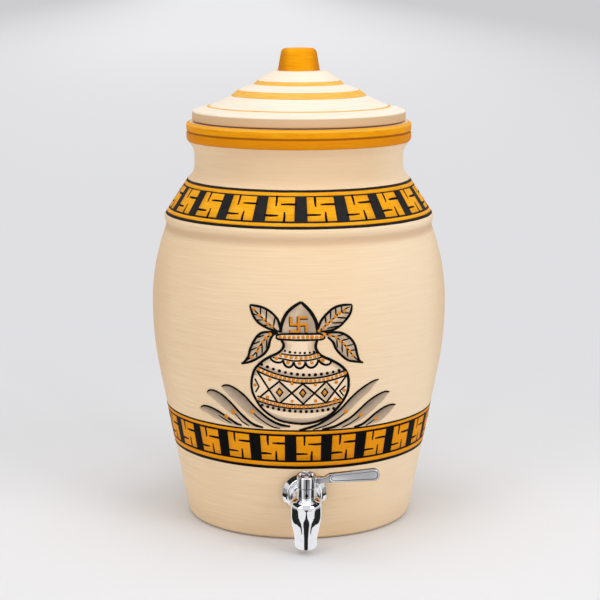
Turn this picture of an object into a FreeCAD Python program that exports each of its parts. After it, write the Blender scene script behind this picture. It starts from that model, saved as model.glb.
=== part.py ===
import FreeCAD, Part
import math
import os

# A fired clay water pot with a loose clay lid and a quarter-turn metal tap, in millimetres.
# The pot stands on the plane Z = 0 with its axis on Z, and the tap points along -Y.
# The tap is drawn upright first, in its own frame: its inlet axis runs along Y through the origin,
# which lies on the pot's outer wall, its spout hangs along -Z and its closed lever points along +X.

# Pot, outside
BASE_RADIUS = 100.7          # where the straight lower wall would meet the table
BELLY_RADIUS = 132.0
LOWER_BEND_HEIGHT = 163.0    # where the lower wall's line would reach the belly radius
UPPER_BEND_HEIGHT = 229.4
LOWER_BELLY_CURVE = 310.0
UPPER_BELLY_CURVE = 198.0
FOOT_CORNER = 5.0
GROOVE_RADIUS, GROOVE_HEIGHT = 118.6, 265.2
BEAD_RADIUS, BEAD_HEIGHT = 121.0, 272.3
SHOULDER_TOP_RADIUS, SHOULDER_TOP_HEIGHT = 99.0, 305.9
NECK_RADIUS = 93.2
NECK_FOOT_HEIGHT, NECK_HEAD_HEIGHT = 312.5, 331.5
RIM_RADIUS = 100.0
RIM_FOOT_HEIGHT, RIM_GROOVE_HEIGHT, RIM_TOP_HEIGHT = 341.0, 347.7, 355.8
RIM_GROOVE_DEPTH, RIM_GROOVE_HALF_WIDTH = 1.1, 1.5
SECTION_SEAMS = [100.0, GROOVE_HEIGHT]   # where the potter joins the base, belly and neck before firing

# Pot, inside
WALL = 8.6
FLOOR_THICKNESS = 12.0
FLOOR_CORNER = 16.0
MOUTH_RADIUS = 84.7
INNER_SHOULDER_RADIUS, INNER_SHOULDER_HEIGHT = 109.5, 265.0

# Lid
LID_RADIUS = 95.0
LID_EDGE_BOTTOM, LID_EDGE_TOP = 356.9, 365.8
LID_SEAT_RADIUS = 90.0
LID_RING_OUTER, LID_RING_INNER, LID_RING_DEPTH = 82.5, 75.0, 12.3
LID_TIERS = [                # (outer radius, height at its outer edge) of each tier, from the ledge upwards
    (78.6, 370.0),
    (54.0, 383.6),
    (36.5, 392.2),
]
LID_TIER_FEET = [            # where the riser below a tier lands on the next one down
    (59.6, 378.8),
    (38.9, 389.4),
]
KNOB_BASE_RADIUS, KNOB_BASE_HEIGHT = 18.6, 400.5
KNOB_TOP_RADIUS, KNOB_TOP_HEIGHT = 15.2, 420.0
LID_WALL = 8.0

# Tap, in its own frame. The inlet axis is at height 0 and the valve axis VALVE_REACH in front of the wall.
TAP_HEIGHT = 46.0            # of the wall point that the inlet axis passes through
WALL_HOLE_RADIUS = 11.0
SHANK_RADIUS, SHANK_BORE, SHANK_LENGTH = 10.4, 6.2, 30.0
FRONT_SEAL_RADIUS, FRONT_SEAL_THICKNESS = 17.5, 2.0
ESCUTCHEON_RADIUS, ESCUTCHEON_EDGE, ESCUTCHEON_FRONT = 19.1, 1.6, 7.6
BODY_SHOULDER_RADIUS, BODY_SHOULDER_WIDTH = 14.1, 2.6
BODY_NECK_RADIUS, NECK_BLEND = 11.0, 4.0
REAR_SEAL_RADIUS, REAR_STACK_START = 15.5, 12.0
CLAMP_WASHER_THICKNESS = 1.6
NUT_ACROSS_FLATS, NUT_THICKNESS = 27.0, 8.0
THREAD_GAP = 0.1             # radial gap between the shank and what is screwed or slipped on it
VALVE_REACH = 35.0
SPOUT_END = -33.2
SPOUT_RADIUS, SPOUT_BORE = 9.35, 5.4
CHAMBER_RADIUS, CHAMBER_FLOOR = 6.0, -11.2
BODY_TOP = 14.6
BODY_TOP_RADIUS = 7.6

# Valve, measured along and around the valve axis
SLEEVE_OUTER, SLEEVE_INNER, SLEEVE_TOP, SLEEVE_PORT = 5.95, 4.6, 9.6, 3.4
PLUG_RADIUS, PLUG_FOOT, PLUG_TOP = 4.55, -10.6, 9.6
PLUG_CAVITY, PLUG_CAVITY_TOP, PLUG_WINDOW = 3.0, 5.0, 3.0
STEM_RADIUS, STEM_SHOULDER, STEM_TOP, STEM_SQUARE = 3.0, 23.5, 30.8, 4.2
O_RING_HEIGHT, O_RING_CENTRE, O_RING_SECTION = 18.35, 2.4, 0.62
O_RING_GROOVE_FLOOR, O_RING_GROOVE_WIDTH = 1.76, 1.5
GLAND_BORE = 3.05
THRUST_WASHER_FOOT, THRUST_WASHER_TOP = 9.7, 10.4
BONNET_RADIUS, BONNET_FOOT, BONNET_TOP, BONNET_SPIGOT = 7.5, 10.5, 23.4, 5.95

# Lever
COLLAR_RADIUS, COLLAR_FOOT, COLLAR_TOP = 8.0, 23.7, 33.8
COLLAR_RECESS_RADIUS, COLLAR_RECESS_FLOOR = 5.9, 31.2
SOCKET_SQUARE = 4.3
LEVER_LENGTH, LEVER_THICKNESS = 61.4, 4.0
ARM_ROOT, ARM_BOTTOM, ARM_TOP = 4.0, 26.0, 31.5
PADDLE_START, PADDLE_START_TOP = 19.0, 34.6
PADDLE_END_BOTTOM, PADDLE_END_TOP, PADDLE_END_CORNER = 28.3, 39.4, 5.0
PANEL_MARGIN, PANEL_DEPTH = 1.5, 0.4
SCREW_RADIUS, SCREW_HEAD_RADIUS, SCREW_HEAD_HEIGHT, SCREW_TIP = 1.5, 3.6, 1.7, 24.0
SCREW_SOCKET_ACROSS_FLATS, SCREW_SOCKET_DEPTH = 2.5, 1.1
LOCK_WASHER_RADIUS, LOCK_WASHER_THICKNESS = 3.3, 0.4

# Stop: a pin in the bonnet runs in a curved slot under the lever's collar and allows a quarter turn
STOP_PIN_RADIUS, STOP_PIN_CIRCLE, STOP_PIN_ANGLE = 0.8, 5.6, 100.0
STOP_PIN_FOOT, STOP_PIN_TOP = 19.4, 24.9
STOP_SLOT_INNER, STOP_SLOT_OUTER, STOP_SLOT_TOP = 4.7, 6.5, 25.3
STOP_SLOT_SWEEP, STOP_SLOT_MARGIN = 90.0, 9.5
FIT = 0.05                   # radial gap of a screw or pin in its hole


def direction(start, end):
    step = (end[0] - start[0], end[1] - start[1])
    length = math.hypot(*step)
    return (step[0] / length, step[1] / length), length


def rounded_wire(corners, place):
    """A closed wire through (across, up, radius) corners, each rounded by an arc of its radius."""
    rounded = []
    for index, corner in enumerate(corners):
        before = corners[index - 1]
        after = corners[(index + 1) % len(corners)]
        back, back_length = direction(corner, before)
        ahead, ahead_length = direction(corner, after)
        radius = corner[2] if len(corner) > 2 else 0.0
        half_angle = math.acos(max(-1.0, min(1.0, back[0] * ahead[0] + back[1] * ahead[1]))) / 2
        if radius == 0.0:
            rounded.append((corner[:2], None, corner[:2]))
            continue
        setback = radius / math.tan(half_angle)
        if setback > min(back_length, ahead_length):
            raise ValueError(f"corner {corner} is too tight for its radius")
        bisector, _ = direction((0.0, 0.0), (back[0] + ahead[0], back[1] + ahead[1]))
        to_arc = radius / math.sin(half_angle) - radius
        rounded.append((
            (corner[0] + back[0] * setback, corner[1] + back[1] * setback),
            (corner[0] + bisector[0] * to_arc, corner[1] + bisector[1] * to_arc),
            (corner[0] + ahead[0] * setback, corner[1] + ahead[1] * setback),
        ))
    edges = []
    for index, (start, middle, end) in enumerate(rounded):
        if middle is not None:
            edges.append(Part.Arc(place(*start), place(*middle), place(*end)).toShape())
        following = rounded[(index + 1) % len(rounded)][0]
        if math.dist(end, following) > 1e-6:
            edges.append(Part.LineSegment(place(*end), place(*following)).toShape())
    return Part.Wire(edges)


def turned(corners):
    """A solid of revolution about Z from (radius, height, corner radius) corners."""
    face = Part.Face(rounded_wire(corners, lambda across, up: FreeCAD.Vector(across, 0, up)))
    return face.revolve(FreeCAD.Vector(0, 0, 0), FreeCAD.Vector(0, 0, 1), 360)


def turned_on_inlet(corners):
    """The same about the tap's inlet axis, where the second number is the distance out from the wall."""
    solid = turned(corners)
    solid.rotate(FreeCAD.Vector(0, 0, 0), FreeCAD.Vector(1, 0, 0), 90)
    return solid


def on_valve_axis(solid):
    solid.translate(FreeCAD.Vector(0, -VALVE_REACH, 0))
    return solid


def rod(radius, start, end):
    """A cylinder along Z between two heights."""
    return Part.makeCylinder(radius, end - start, FreeCAD.Vector(0, 0, start))


def inlet_rod(radius, back, front):
    """A cylinder along the inlet axis between two distances out from the wall."""
    return Part.makeCylinder(radius, front - back, FreeCAD.Vector(0, -back, 0), FreeCAD.Vector(0, -1, 0))


def square_rod(side, start, end):
    return Part.makeBox(side, side, end - start, FreeCAD.Vector(-side / 2, -side / 2, start))


def hexagonal_prism(across_flats, start, end):
    corner_radius = across_flats / math.sqrt(3)
    points = [
        FreeCAD.Vector(corner_radius * math.cos(math.radians(60 * turn)),
                       corner_radius * math.sin(math.radians(60 * turn)), start)
        for turn in range(7)
    ]
    return Part.Face(Part.makePolygon(points)).extrude(FreeCAD.Vector(0, 0, end - start))


WALL_SLOPE = (BELLY_RADIUS - BASE_RADIUS) / LOWER_BEND_HEIGHT
TAP_TILT = math.degrees(math.atan(WALL_SLOPE))          # the tap stands square to the sloping lower wall
WALL_POINT = FreeCAD.Vector(0, -(BASE_RADIUS + WALL_SLOPE * TAP_HEIGHT), TAP_HEIGHT)


def placed(solid):
    """Moves a piece of the tap from the tap's own frame to its place on the pot."""
    moved = solid.copy()
    moved.rotate(FreeCAD.Vector(0, 0, 0), FreeCAD.Vector(1, 0, 0), TAP_TILT)
    moved.translate(WALL_POINT)
    return moved


def rim_corners():
    """The rolled rim: two soft beads with a scored line between them, and a flat top for the lid."""
    line = RIM_GROOVE_HEIGHT
    return [
        (RIM_RADIUS, RIM_FOOT_HEIGHT, 5.0),
        (RIM_RADIUS, line - RIM_GROOVE_HALF_WIDTH, 1.2),
        (RIM_RADIUS - RIM_GROOVE_DEPTH, line, 1.0),
        (RIM_RADIUS, line + RIM_GROOVE_HALF_WIDTH, 1.2),
        (RIM_RADIUS, RIM_TOP_HEIGHT, 2.5),
    ]


def inner_wall_corners():
    """The inside of the pot from its mouth down to its floor, WALL behind the outside."""
    inner_belly = BELLY_RADIUS - WALL
    inner_base = BASE_RADIUS - WALL / math.cos(math.radians(TAP_TILT))
    lower_bend = (inner_belly - inner_base) / WALL_SLOPE
    return [
        (88.5, RIM_TOP_HEIGHT, 3.0),
        (86.5, RIM_TOP_HEIGHT - 8.8, 10.0),
        (MOUTH_RADIUS, NECK_HEAD_HEIGHT, 20.0),
        (MOUTH_RADIUS, NECK_FOOT_HEIGHT, 25.0),
        (INNER_SHOULDER_RADIUS, INNER_SHOULDER_HEIGHT, 22.0),
        (inner_belly, UPPER_BEND_HEIGHT - 1.6, UPPER_BELLY_CURVE - WALL),
        (inner_belly, lower_bend, LOWER_BELLY_CURVE - WALL),
        (inner_base + WALL_SLOPE * FLOOR_THICKNESS, FLOOR_THICKNESS, FLOOR_CORNER),
        (0.0, FLOOR_THICKNESS),
    ]


def make_pot():
    outside = [
        (0.0, 0.0),
        (BASE_RADIUS, 0.0, FOOT_CORNER),
        (BELLY_RADIUS, LOWER_BEND_HEIGHT, LOWER_BELLY_CURVE),
        (BELLY_RADIUS, UPPER_BEND_HEIGHT, UPPER_BELLY_CURVE),
        (GROOVE_RADIUS, GROOVE_HEIGHT, 6.0),
        (BEAD_RADIUS, BEAD_HEIGHT, 4.0),
        (SHOULDER_TOP_RADIUS, SHOULDER_TOP_HEIGHT, 1.2),
        (NECK_RADIUS, NECK_FOOT_HEIGHT, 14.0),
        (NECK_RADIUS, NECK_HEAD_HEIGHT, 12.0),
    ]
    pot = turned(outside + rim_corners() + inner_wall_corners())
    hole = placed(inlet_rod(WALL_HOLE_RADIUS, -3 * WALL, 2 * WALL))
    return pot.cut(hole)


def thrown_sections(pot):
    """The pot as the sections that it is thrown in, which meet face to face at the seams."""
    reach = 2 * BELLY_RADIUS
    levels = [-1.0, *SECTION_SEAMS, RIM_TOP_HEIGHT + 1.0]
    slabs = [
        Part.makeBox(2 * reach, 2 * reach, top - foot, FreeCAD.Vector(-reach, -reach, foot))
        for foot, top in zip(levels, levels[1:])
    ]
    return Part.Compound([largest(pot.common(slab)) for slab in slabs])


def make_lid():
    """A stepped dome with a flat ledge, a knob, and a ring below that drops into the mouth."""
    ledge, middle, top = LID_TIERS
    middle_foot, top_foot = LID_TIER_FEET
    ring_foot = RIM_TOP_HEIGHT - LID_RING_DEPTH
    crown = KNOB_BASE_HEIGHT
    corners = [
        (0.0, crown - LID_WALL - 1.5),
        (0.0, KNOB_TOP_HEIGHT),
        (KNOB_TOP_RADIUS, KNOB_TOP_HEIGHT, 4.5),
        (KNOB_BASE_RADIUS, crown, 0.8),
        (25.0, crown - 0.4, 6.0),
        (*top, 1.5),
        (*top_foot, 1.5),
        (*middle, 2.0),
        (*middle_foot, 2.0),
        (*ledge, 2.0),
        (LID_RADIUS - 0.2, LID_EDGE_TOP, 2.2),
        (LID_RADIUS, LID_EDGE_BOTTOM, 1.5),
        (LID_SEAT_RADIUS, LID_EDGE_BOTTOM, 0.4),
        (LID_SEAT_RADIUS, RIM_TOP_HEIGHT, 0.4),
        (LID_RING_OUTER, RIM_TOP_HEIGHT, 1.0),
        (LID_RING_OUTER, ring_foot, 2.5),
        (LID_RING_INNER, ring_foot, 2.5),
        (LID_RING_INNER + 0.5, RIM_TOP_HEIGHT + 3.0, 6.0),
        (top_foot[0], top_foot[1] - LID_WALL - 2.0, 12.0),
        (KNOB_BASE_RADIUS, crown - LID_WALL - 1.5, 9.0),
    ]
    return turned(corners)


def make_tap_body():
    """One casting: shank, shoulder, neck and spout, bored for the water and for the valve."""
    spout = on_valve_axis(turned([
        (0.0, BODY_TOP),
        (BODY_TOP_RADIUS, BODY_TOP, 0.4),
        (BODY_TOP_RADIUS, 12.6, 0.8),
        (13.4, 9.0, 6.0),
        (13.7, -6.0, 40.0),
        (SPOUT_RADIUS, -26.0, 40.0),
        (SPOUT_RADIUS, SPOUT_END, 0.8),
        (0.0, SPOUT_END),
    ]))
    shoulder_front = ESCUTCHEON_FRONT + BODY_SHOULDER_WIDTH
    neck = turned_on_inlet([
        (0.0, ESCUTCHEON_FRONT),
        (BODY_SHOULDER_RADIUS, ESCUTCHEON_FRONT, 0.4),
        (BODY_SHOULDER_RADIUS, shoulder_front, 1.4),
        (BODY_NECK_RADIUS, shoulder_front, 1.6),
        (BODY_NECK_RADIUS, VALVE_REACH - 6.0),
        (0.0, VALVE_REACH - 6.0),
    ])
    shank = turned_on_inlet([
        (0.0, -SHANK_LENGTH),
        (SHANK_RADIUS - 0.9, -SHANK_LENGTH),
        (SHANK_RADIUS, 0.9 - SHANK_LENGTH),
        (SHANK_RADIUS, ESCUTCHEON_FRONT + 0.5),
        (0.0, ESCUTCHEON_FRONT + 0.5),
    ])
    body = blended(spout.fuse(neck).removeSplitter()).fuse(shank)
    chamber = on_valve_axis(rod(CHAMBER_RADIUS, CHAMBER_FLOOR, BODY_TOP + 1))
    outlet = on_valve_axis(rod(SPOUT_BORE, SPOUT_END - 1, 0))
    inlet = inlet_rod(SHANK_BORE, -SHANK_LENGTH - 1, VALVE_REACH)
    return body.cut(chamber.fuse(outlet).fuse(inlet)).removeSplitter()


def blended(casting):
    """Rounds the inside corner where the neck runs into the spout, as a casting has it."""
    seam = [edge for edge in casting.Edges if type(edge.Curve).__name__ == "BSplineCurve"]
    return casting.makeFillet(NECK_BLEND, seam)


def make_escutcheon():
    bore = SHANK_RADIUS + THREAD_GAP
    back = FRONT_SEAL_THICKNESS
    return turned_on_inlet([
        (bore, back),
        (ESCUTCHEON_RADIUS, back, 0.3),
        (ESCUTCHEON_RADIUS, back + ESCUTCHEON_EDGE, 0.7),
        (BODY_SHOULDER_RADIUS + 1.6, ESCUTCHEON_FRONT, 1.6),
        (bore, ESCUTCHEON_FRONT),
    ])


def ring_on_shank(radius, back, front):
    return inlet_rod(radius, back, front).cut(inlet_rod(SHANK_RADIUS + THREAD_GAP, back - 1, front + 1))


def make_front_seal(pot):
    """A soft washer between the flat escutcheon and the round wall, cut to the wall's curve."""
    blank = placed(ring_on_shank(FRONT_SEAL_RADIUS, -4.0, FRONT_SEAL_THICKNESS))
    return largest(blank.cut(pot))


def make_rear_seal(pot):
    blank = placed(ring_on_shank(REAR_SEAL_RADIUS, -REAR_STACK_START, -WALL + 2.0))
    return largest(blank.cut(pot))


def largest(shape):
    """The biggest solid, where a cut leaves scraps in the wall's hole."""
    return max(shape.Solids, key=lambda solid: solid.Volume)


def make_clamp_washer():
    return ring_on_shank(REAR_SEAL_RADIUS, -REAR_STACK_START - CLAMP_WASHER_THICKNESS, -REAR_STACK_START)


def make_back_nut():
    front = -REAR_STACK_START - CLAMP_WASHER_THICKNESS
    corner = NUT_ACROSS_FLATS / math.sqrt(3)
    blank = hexagonal_prism(NUT_ACROSS_FLATS, 0, NUT_THICKNESS)
    chamfer = turned([
        (0.0, 0.0),
        (corner - 1.2, 0.0),
        (corner + 0.8, 1.2),
        (corner + 0.8, NUT_THICKNESS - 1.2),
        (corner - 1.2, NUT_THICKNESS),
        (0.0, NUT_THICKNESS),
    ])
    nut = blank.common(chamfer)
    nut.rotate(FreeCAD.Vector(0, 0, 0), FreeCAD.Vector(1, 0, 0), -90)
    nut.translate(FreeCAD.Vector(0, -front, 0))
    return nut.cut(inlet_rod(SHANK_RADIUS + THREAD_GAP, front - 2 * NUT_THICKNESS, front + 1))


def make_sleeve():
    """A slippery liner that the plug turns in, with one port towards the inlet."""
    sleeve = turned([
        (SLEEVE_INNER, CHAMBER_FLOOR + 0.1),
        (SLEEVE_OUTER, CHAMBER_FLOOR + 0.1),
        (SLEEVE_OUTER, SLEEVE_TOP),
        (SLEEVE_INNER, SLEEVE_TOP),
    ])
    port = Part.makeCylinder(SLEEVE_PORT, 2 * SLEEVE_OUTER, FreeCAD.Vector(0, 0, 0), FreeCAD.Vector(0, 1, 0))
    return on_valve_axis(sleeve.cut(port))


def make_plug():
    """The turning plug: open below, with one window that faces away from the closed lever."""
    groove_foot = O_RING_HEIGHT - O_RING_GROOVE_WIDTH / 2
    groove_top = O_RING_HEIGHT + O_RING_GROOVE_WIDTH / 2
    plug = turned([
        (0.0, PLUG_CAVITY_TOP),
        (PLUG_CAVITY, PLUG_CAVITY_TOP),
        (PLUG_CAVITY, PLUG_FOOT),
        (PLUG_RADIUS, PLUG_FOOT, 0.3),
        (PLUG_RADIUS, PLUG_TOP, 0.3),
        (STEM_RADIUS, PLUG_TOP),
        (STEM_RADIUS, groove_foot),
        (O_RING_GROOVE_FLOOR, groove_foot),
        (O_RING_GROOVE_FLOOR, groove_top),
        (STEM_RADIUS, groove_top),
        (STEM_RADIUS, STEM_SHOULDER),
        (0.0, STEM_SHOULDER),
    ])
    drive = square_rod(STEM_SQUARE, STEM_SHOULDER - 0.5, STEM_TOP).common(rod(STEM_RADIUS, 0, STEM_TOP))
    window = Part.makeCylinder(PLUG_WINDOW, 2 * PLUG_RADIUS, FreeCAD.Vector(0, 0, 0), FreeCAD.Vector(-1, 0, 0))
    tapped_hole = rod(SCREW_RADIUS + FIT, SCREW_TIP - 1.0, STEM_TOP + 1)
    return on_valve_axis(plug.fuse(drive).cut(window).cut(tapped_hole))


def make_stem_o_ring():
    ring = Part.makeTorus(O_RING_CENTRE, O_RING_SECTION)
    ring.translate(FreeCAD.Vector(0, 0, O_RING_HEIGHT))
    return on_valve_axis(ring)


def make_thrust_washer():
    return on_valve_axis(turned([
        (GLAND_BORE + FIT, THRUST_WASHER_FOOT),
        (BONNET_SPIGOT, THRUST_WASHER_FOOT),
        (BONNET_SPIGOT, THRUST_WASHER_TOP),
        (GLAND_BORE + FIT, THRUST_WASHER_TOP),
    ]))


def stop_pin_rod(radius, start, end):
    angle = math.radians(STOP_PIN_ANGLE)
    place = FreeCAD.Vector(STOP_PIN_CIRCLE * math.cos(angle), STOP_PIN_CIRCLE * math.sin(angle), start)
    return Part.makeCylinder(radius, end - start, place)


def make_bonnet():
    """The screwed ring that holds the plug down. Its bore is the stem's gland."""
    bonnet = turned([
        (GLAND_BORE, BONNET_FOOT),
        (BONNET_SPIGOT, BONNET_FOOT, 0.3),
        (BONNET_SPIGOT, BODY_TOP),
        (BONNET_RADIUS, BODY_TOP, 0.4),
        (BONNET_RADIUS, BONNET_TOP, 0.6),
        (GLAND_BORE, BONNET_TOP),
    ])
    return on_valve_axis(bonnet.cut(stop_pin_rod(STOP_PIN_RADIUS + 0.01, STOP_PIN_FOOT, BONNET_TOP + 1)))


def make_stop_pin():
    return on_valve_axis(stop_pin_rod(STOP_PIN_RADIUS, STOP_PIN_FOOT, STOP_PIN_TOP))


def stop_slot():
    """The curved slot under the collar, from one stop to the other."""
    slot = turned([
        (STOP_SLOT_INNER, COLLAR_FOOT - 1),
        (STOP_SLOT_OUTER, COLLAR_FOOT - 1),
        (STOP_SLOT_OUTER, STOP_SLOT_TOP),
        (STOP_SLOT_INNER, STOP_SLOT_TOP),
    ])
    sector = Part.makeCylinder(2 * COLLAR_RADIUS, STOP_SLOT_TOP - COLLAR_FOOT + 2,
                               FreeCAD.Vector(0, 0, COLLAR_FOOT - 1), FreeCAD.Vector(0, 0, 1),
                               STOP_SLOT_SWEEP + 2 * STOP_SLOT_MARGIN)
    sector.rotate(FreeCAD.Vector(0, 0, 0), FreeCAD.Vector(0, 0, 1), STOP_PIN_ANGLE - STOP_SLOT_MARGIN)
    return slot.common(sector)


def plate(corners, back, front):
    """A flat plate in the lever's plane, between two distances from the valve axis towards the user."""
    wire = rounded_wire(corners, lambda across, up: FreeCAD.Vector(across, -back, up))
    return Part.Face(wire).extrude(FreeCAD.Vector(0, back - front, 0))


def make_lever():
    """Collar, narrow arm and rising paddle in one casting, with a sunk blank panel on the paddle's face."""
    half = LEVER_THICKNESS / 2
    arm = plate([
        (ARM_ROOT, ARM_BOTTOM),
        (LEVER_LENGTH, PADDLE_END_BOTTOM, PADDLE_END_CORNER),
        (LEVER_LENGTH, PADDLE_END_TOP, PADDLE_END_CORNER),
        (PADDLE_START, PADDLE_START_TOP, 3.0),
        (PADDLE_START - 4.5, ARM_TOP, 4.0),
        (ARM_ROOT, ARM_TOP),
    ], -half, half)
    outline = [edge for edge in arm.Edges if edge.BoundBox.YLength < 1e-6 and edge.BoundBox.XMax > ARM_ROOT + 1e-6]
    arm = arm.makeFillet(0.8, outline)
    panel_left = PADDLE_START + PANEL_MARGIN
    panel_right = LEVER_LENGTH - PANEL_MARGIN
    rise = (PADDLE_END_TOP - PADDLE_START_TOP) / (LEVER_LENGTH - PADDLE_START)
    fall = (PADDLE_END_BOTTOM - ARM_BOTTOM) / (LEVER_LENGTH - ARM_ROOT)
    floor_left = ARM_BOTTOM + fall * (panel_left - ARM_ROOT) + PANEL_MARGIN
    panel = plate([
        (panel_left, floor_left, 2.0),
        (panel_right, PADDLE_END_BOTTOM + PANEL_MARGIN, 3.5),
        (panel_right, PADDLE_END_TOP - PANEL_MARGIN, 3.5),
        (panel_left, PADDLE_START_TOP + rise * PANEL_MARGIN - PANEL_MARGIN, 2.0),
    ], half - PANEL_DEPTH, half + 1)
    collar = turned([
        (0.0, COLLAR_FOOT),
        (COLLAR_RADIUS, COLLAR_FOOT, 0.5),
        (COLLAR_RADIUS, COLLAR_TOP, 0.9),
        (COLLAR_RECESS_RADIUS + 0.5, COLLAR_TOP, 0.3),
        (COLLAR_RECESS_RADIUS, COLLAR_RECESS_FLOOR, 0.3),
        (0.0, COLLAR_RECESS_FLOOR),
    ])
    arm = arm.cut(rod(COLLAR_RADIUS - 1.5, 0, 2 * COLLAR_TOP))
    lever = collar.fuse(arm.cut(panel)).removeSplitter()
    socket = square_rod(SOCKET_SQUARE, COLLAR_FOOT - 1, COLLAR_RECESS_FLOOR - 0.2)
    screw_hole = rod(SCREW_RADIUS + FIT, COLLAR_FOOT, COLLAR_TOP)
    return on_valve_axis(lever.cut(socket).cut(screw_hole).cut(stop_slot()))


def make_lock_washer():
    foot = COLLAR_RECESS_FLOOR
    ring = rod(LOCK_WASHER_RADIUS, foot, foot + LOCK_WASHER_THICKNESS)
    return on_valve_axis(ring.cut(rod(SCREW_RADIUS + FIT, foot - 1, foot + 1)))


def make_lever_screw():
    foot = COLLAR_RECESS_FLOOR + LOCK_WASHER_THICKNESS
    top = foot + SCREW_HEAD_HEIGHT
    screw = turned([
        (0.0, SCREW_TIP),
        (SCREW_RADIUS, SCREW_TIP),
        (SCREW_RADIUS, foot),
        (SCREW_HEAD_RADIUS, foot),
        (SCREW_HEAD_RADIUS, foot + 0.7, 0.3),
        (SCREW_HEAD_RADIUS - 1.2, top, 2.0),
        (0.0, top),
    ])
    return on_valve_axis(screw.cut(hexagonal_prism(SCREW_SOCKET_ACROSS_FLATS, top - SCREW_SOCKET_DEPTH, top + 1)))


def main():
    pot = make_pot()
    pieces = {
        "pot_body": thrown_sections(pot),
        "lid": make_lid(),
        "front_seal": make_front_seal(pot),
        "rear_seal": make_rear_seal(pot),
    }
    tap_pieces = {
        "tap_body": make_tap_body(),
        "tap_escutcheon": make_escutcheon(),
        "clamp_washer": make_clamp_washer(),
        "back_nut": make_back_nut(),
        "plug_sleeve": make_sleeve(),
        "valve_plug": make_plug(),
        "stem_o_ring": make_stem_o_ring(),
        "thrust_washer": make_thrust_washer(),
        "bonnet": make_bonnet(),
        "stop_pin": make_stop_pin(),
        "lever": make_lever(),
        "lock_washer": make_lock_washer(),
        "lever_screw": make_lever_screw(),
    }
    pieces.update({name: placed(solid) for name, solid in tap_pieces.items()})
    os.makedirs("parts", exist_ok=True)
    for name, solid in pieces.items():
        solid.exportStep(f"parts/{name}.step")
        print(f"{name}: {len(solid.Solids)} solid, {solid.Volume / 1000:.2f} cm3, valid {solid.isValid()}")
    axis = placed(Part.Vertex(0, -VALVE_REACH, 0)).Point
    print(f"tilt {TAP_TILT:.4f} degrees, lever axis through {axis.x:.3f}, {axis.y:.3f}, {axis.z:.3f}")


main()
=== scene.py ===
import bpy
import bmesh
import math
import random
from bisect import bisect_left
from functools import partialmethod
from mathutils import Matrix, Vector, noise


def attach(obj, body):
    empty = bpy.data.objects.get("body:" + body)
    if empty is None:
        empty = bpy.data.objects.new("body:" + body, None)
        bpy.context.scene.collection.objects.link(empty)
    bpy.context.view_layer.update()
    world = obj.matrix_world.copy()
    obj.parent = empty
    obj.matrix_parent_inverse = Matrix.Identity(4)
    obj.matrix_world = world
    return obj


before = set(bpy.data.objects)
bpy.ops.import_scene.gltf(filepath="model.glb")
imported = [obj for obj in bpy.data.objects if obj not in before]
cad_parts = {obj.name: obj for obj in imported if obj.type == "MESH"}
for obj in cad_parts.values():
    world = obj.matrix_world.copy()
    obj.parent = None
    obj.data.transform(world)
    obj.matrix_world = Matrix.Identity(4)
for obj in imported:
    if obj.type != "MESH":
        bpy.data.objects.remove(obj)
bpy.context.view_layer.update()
print("stage: frame loaded")

mm = 0.001


# Camera

cameraSettings = {
    "distance": 1589.75 * mm,      # from the pot's axis, level with the floor
    "height": 485.63 * mm,
    "pitch": 10.41,                # degrees below level
    "azimuth": -2.4,               # degrees round the pot, towards -X
    "focalPixels": 1782.41,        # in a frame of 600 x 600
    "framePixels": 600.0,
    "axisPixel": 298.85,           # where the pot's axis stands in that frame
    "sensor": 36.0,
    "clipEnd": 200.0,
}


def makeCamera(s):
    data = bpy.data.cameras.new("studioCamera")
    data.sensor_width = s["sensor"]
    data.lens = s["focalPixels"] / s["framePixels"] * s["sensor"]
    data.clip_end = s["clipEnd"]
    camera = bpy.data.objects.new("studioCamera", data)
    bpy.context.scene.collection.objects.link(camera)
    around = math.radians(s["azimuth"])
    camera.location = (s["distance"] * math.sin(around), -s["distance"] * math.cos(around), s["height"])
    yaw = math.atan((s["framePixels"] / 2 - s["axisPixel"]) / s["focalPixels"])
    camera.rotation_euler = (math.radians(90 - s["pitch"]), 0, around - yaw)
    bpy.context.scene.camera = camera
    bpy.context.scene.view_settings.view_transform = "Standard"


makeCamera(cameraSettings)
print("stage: camera")


# Shader maths: a socket that takes part in Python expressions

class Value:
    def __init__(self, tree, socket):
        self.tree = tree
        self.socket = socket

    def maths(self, operation, *others):
        inputs = {0: self}
        inputs.update({index + 1: other for index, other in enumerate(others)})
        return self.tree.add("ShaderNodeMath", inputs, operation=operation).out(0)

    __add__ = __radd__ = partialmethod(maths, "ADD")
    __mul__ = __rmul__ = partialmethod(maths, "MULTIPLY")
    __sub__ = partialmethod(maths, "SUBTRACT")
    __rsub__ = partialmethod(maths, "MULTIPLY_ADD", -1.0)
    __abs__ = partialmethod(maths, "ABSOLUTE")
    root = partialmethod(maths, "SQRT")
    larger = partialmethod(maths, "MAXIMUM")
    smaller = partialmethod(maths, "MINIMUM")

    def contrast(self, low, high):
        # 0 at low and 1 at high, soft between them; low may also be the larger of the two
        ramp = {"Value": self, "From Min": low, "From Max": high}
        return self.tree.add("ShaderNodeMapRange", ramp, interpolation_type="SMOOTHSTEP").out(0)


class Node:
    def __init__(self, tree, node):
        self.tree = tree
        self.node = node

    def out(self, name):
        return Value(self.tree, self.node.outputs[name])


def asLinear(colour):
    # a colour written as 0 to 255 in the screen's own scale
    scaled = [part / 255 for part in colour]
    return tuple(p / 12.92 if p <= 0.04045 else ((p + 0.055) / 1.055) ** 2.4 for p in scaled) + (1.0,)


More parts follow.
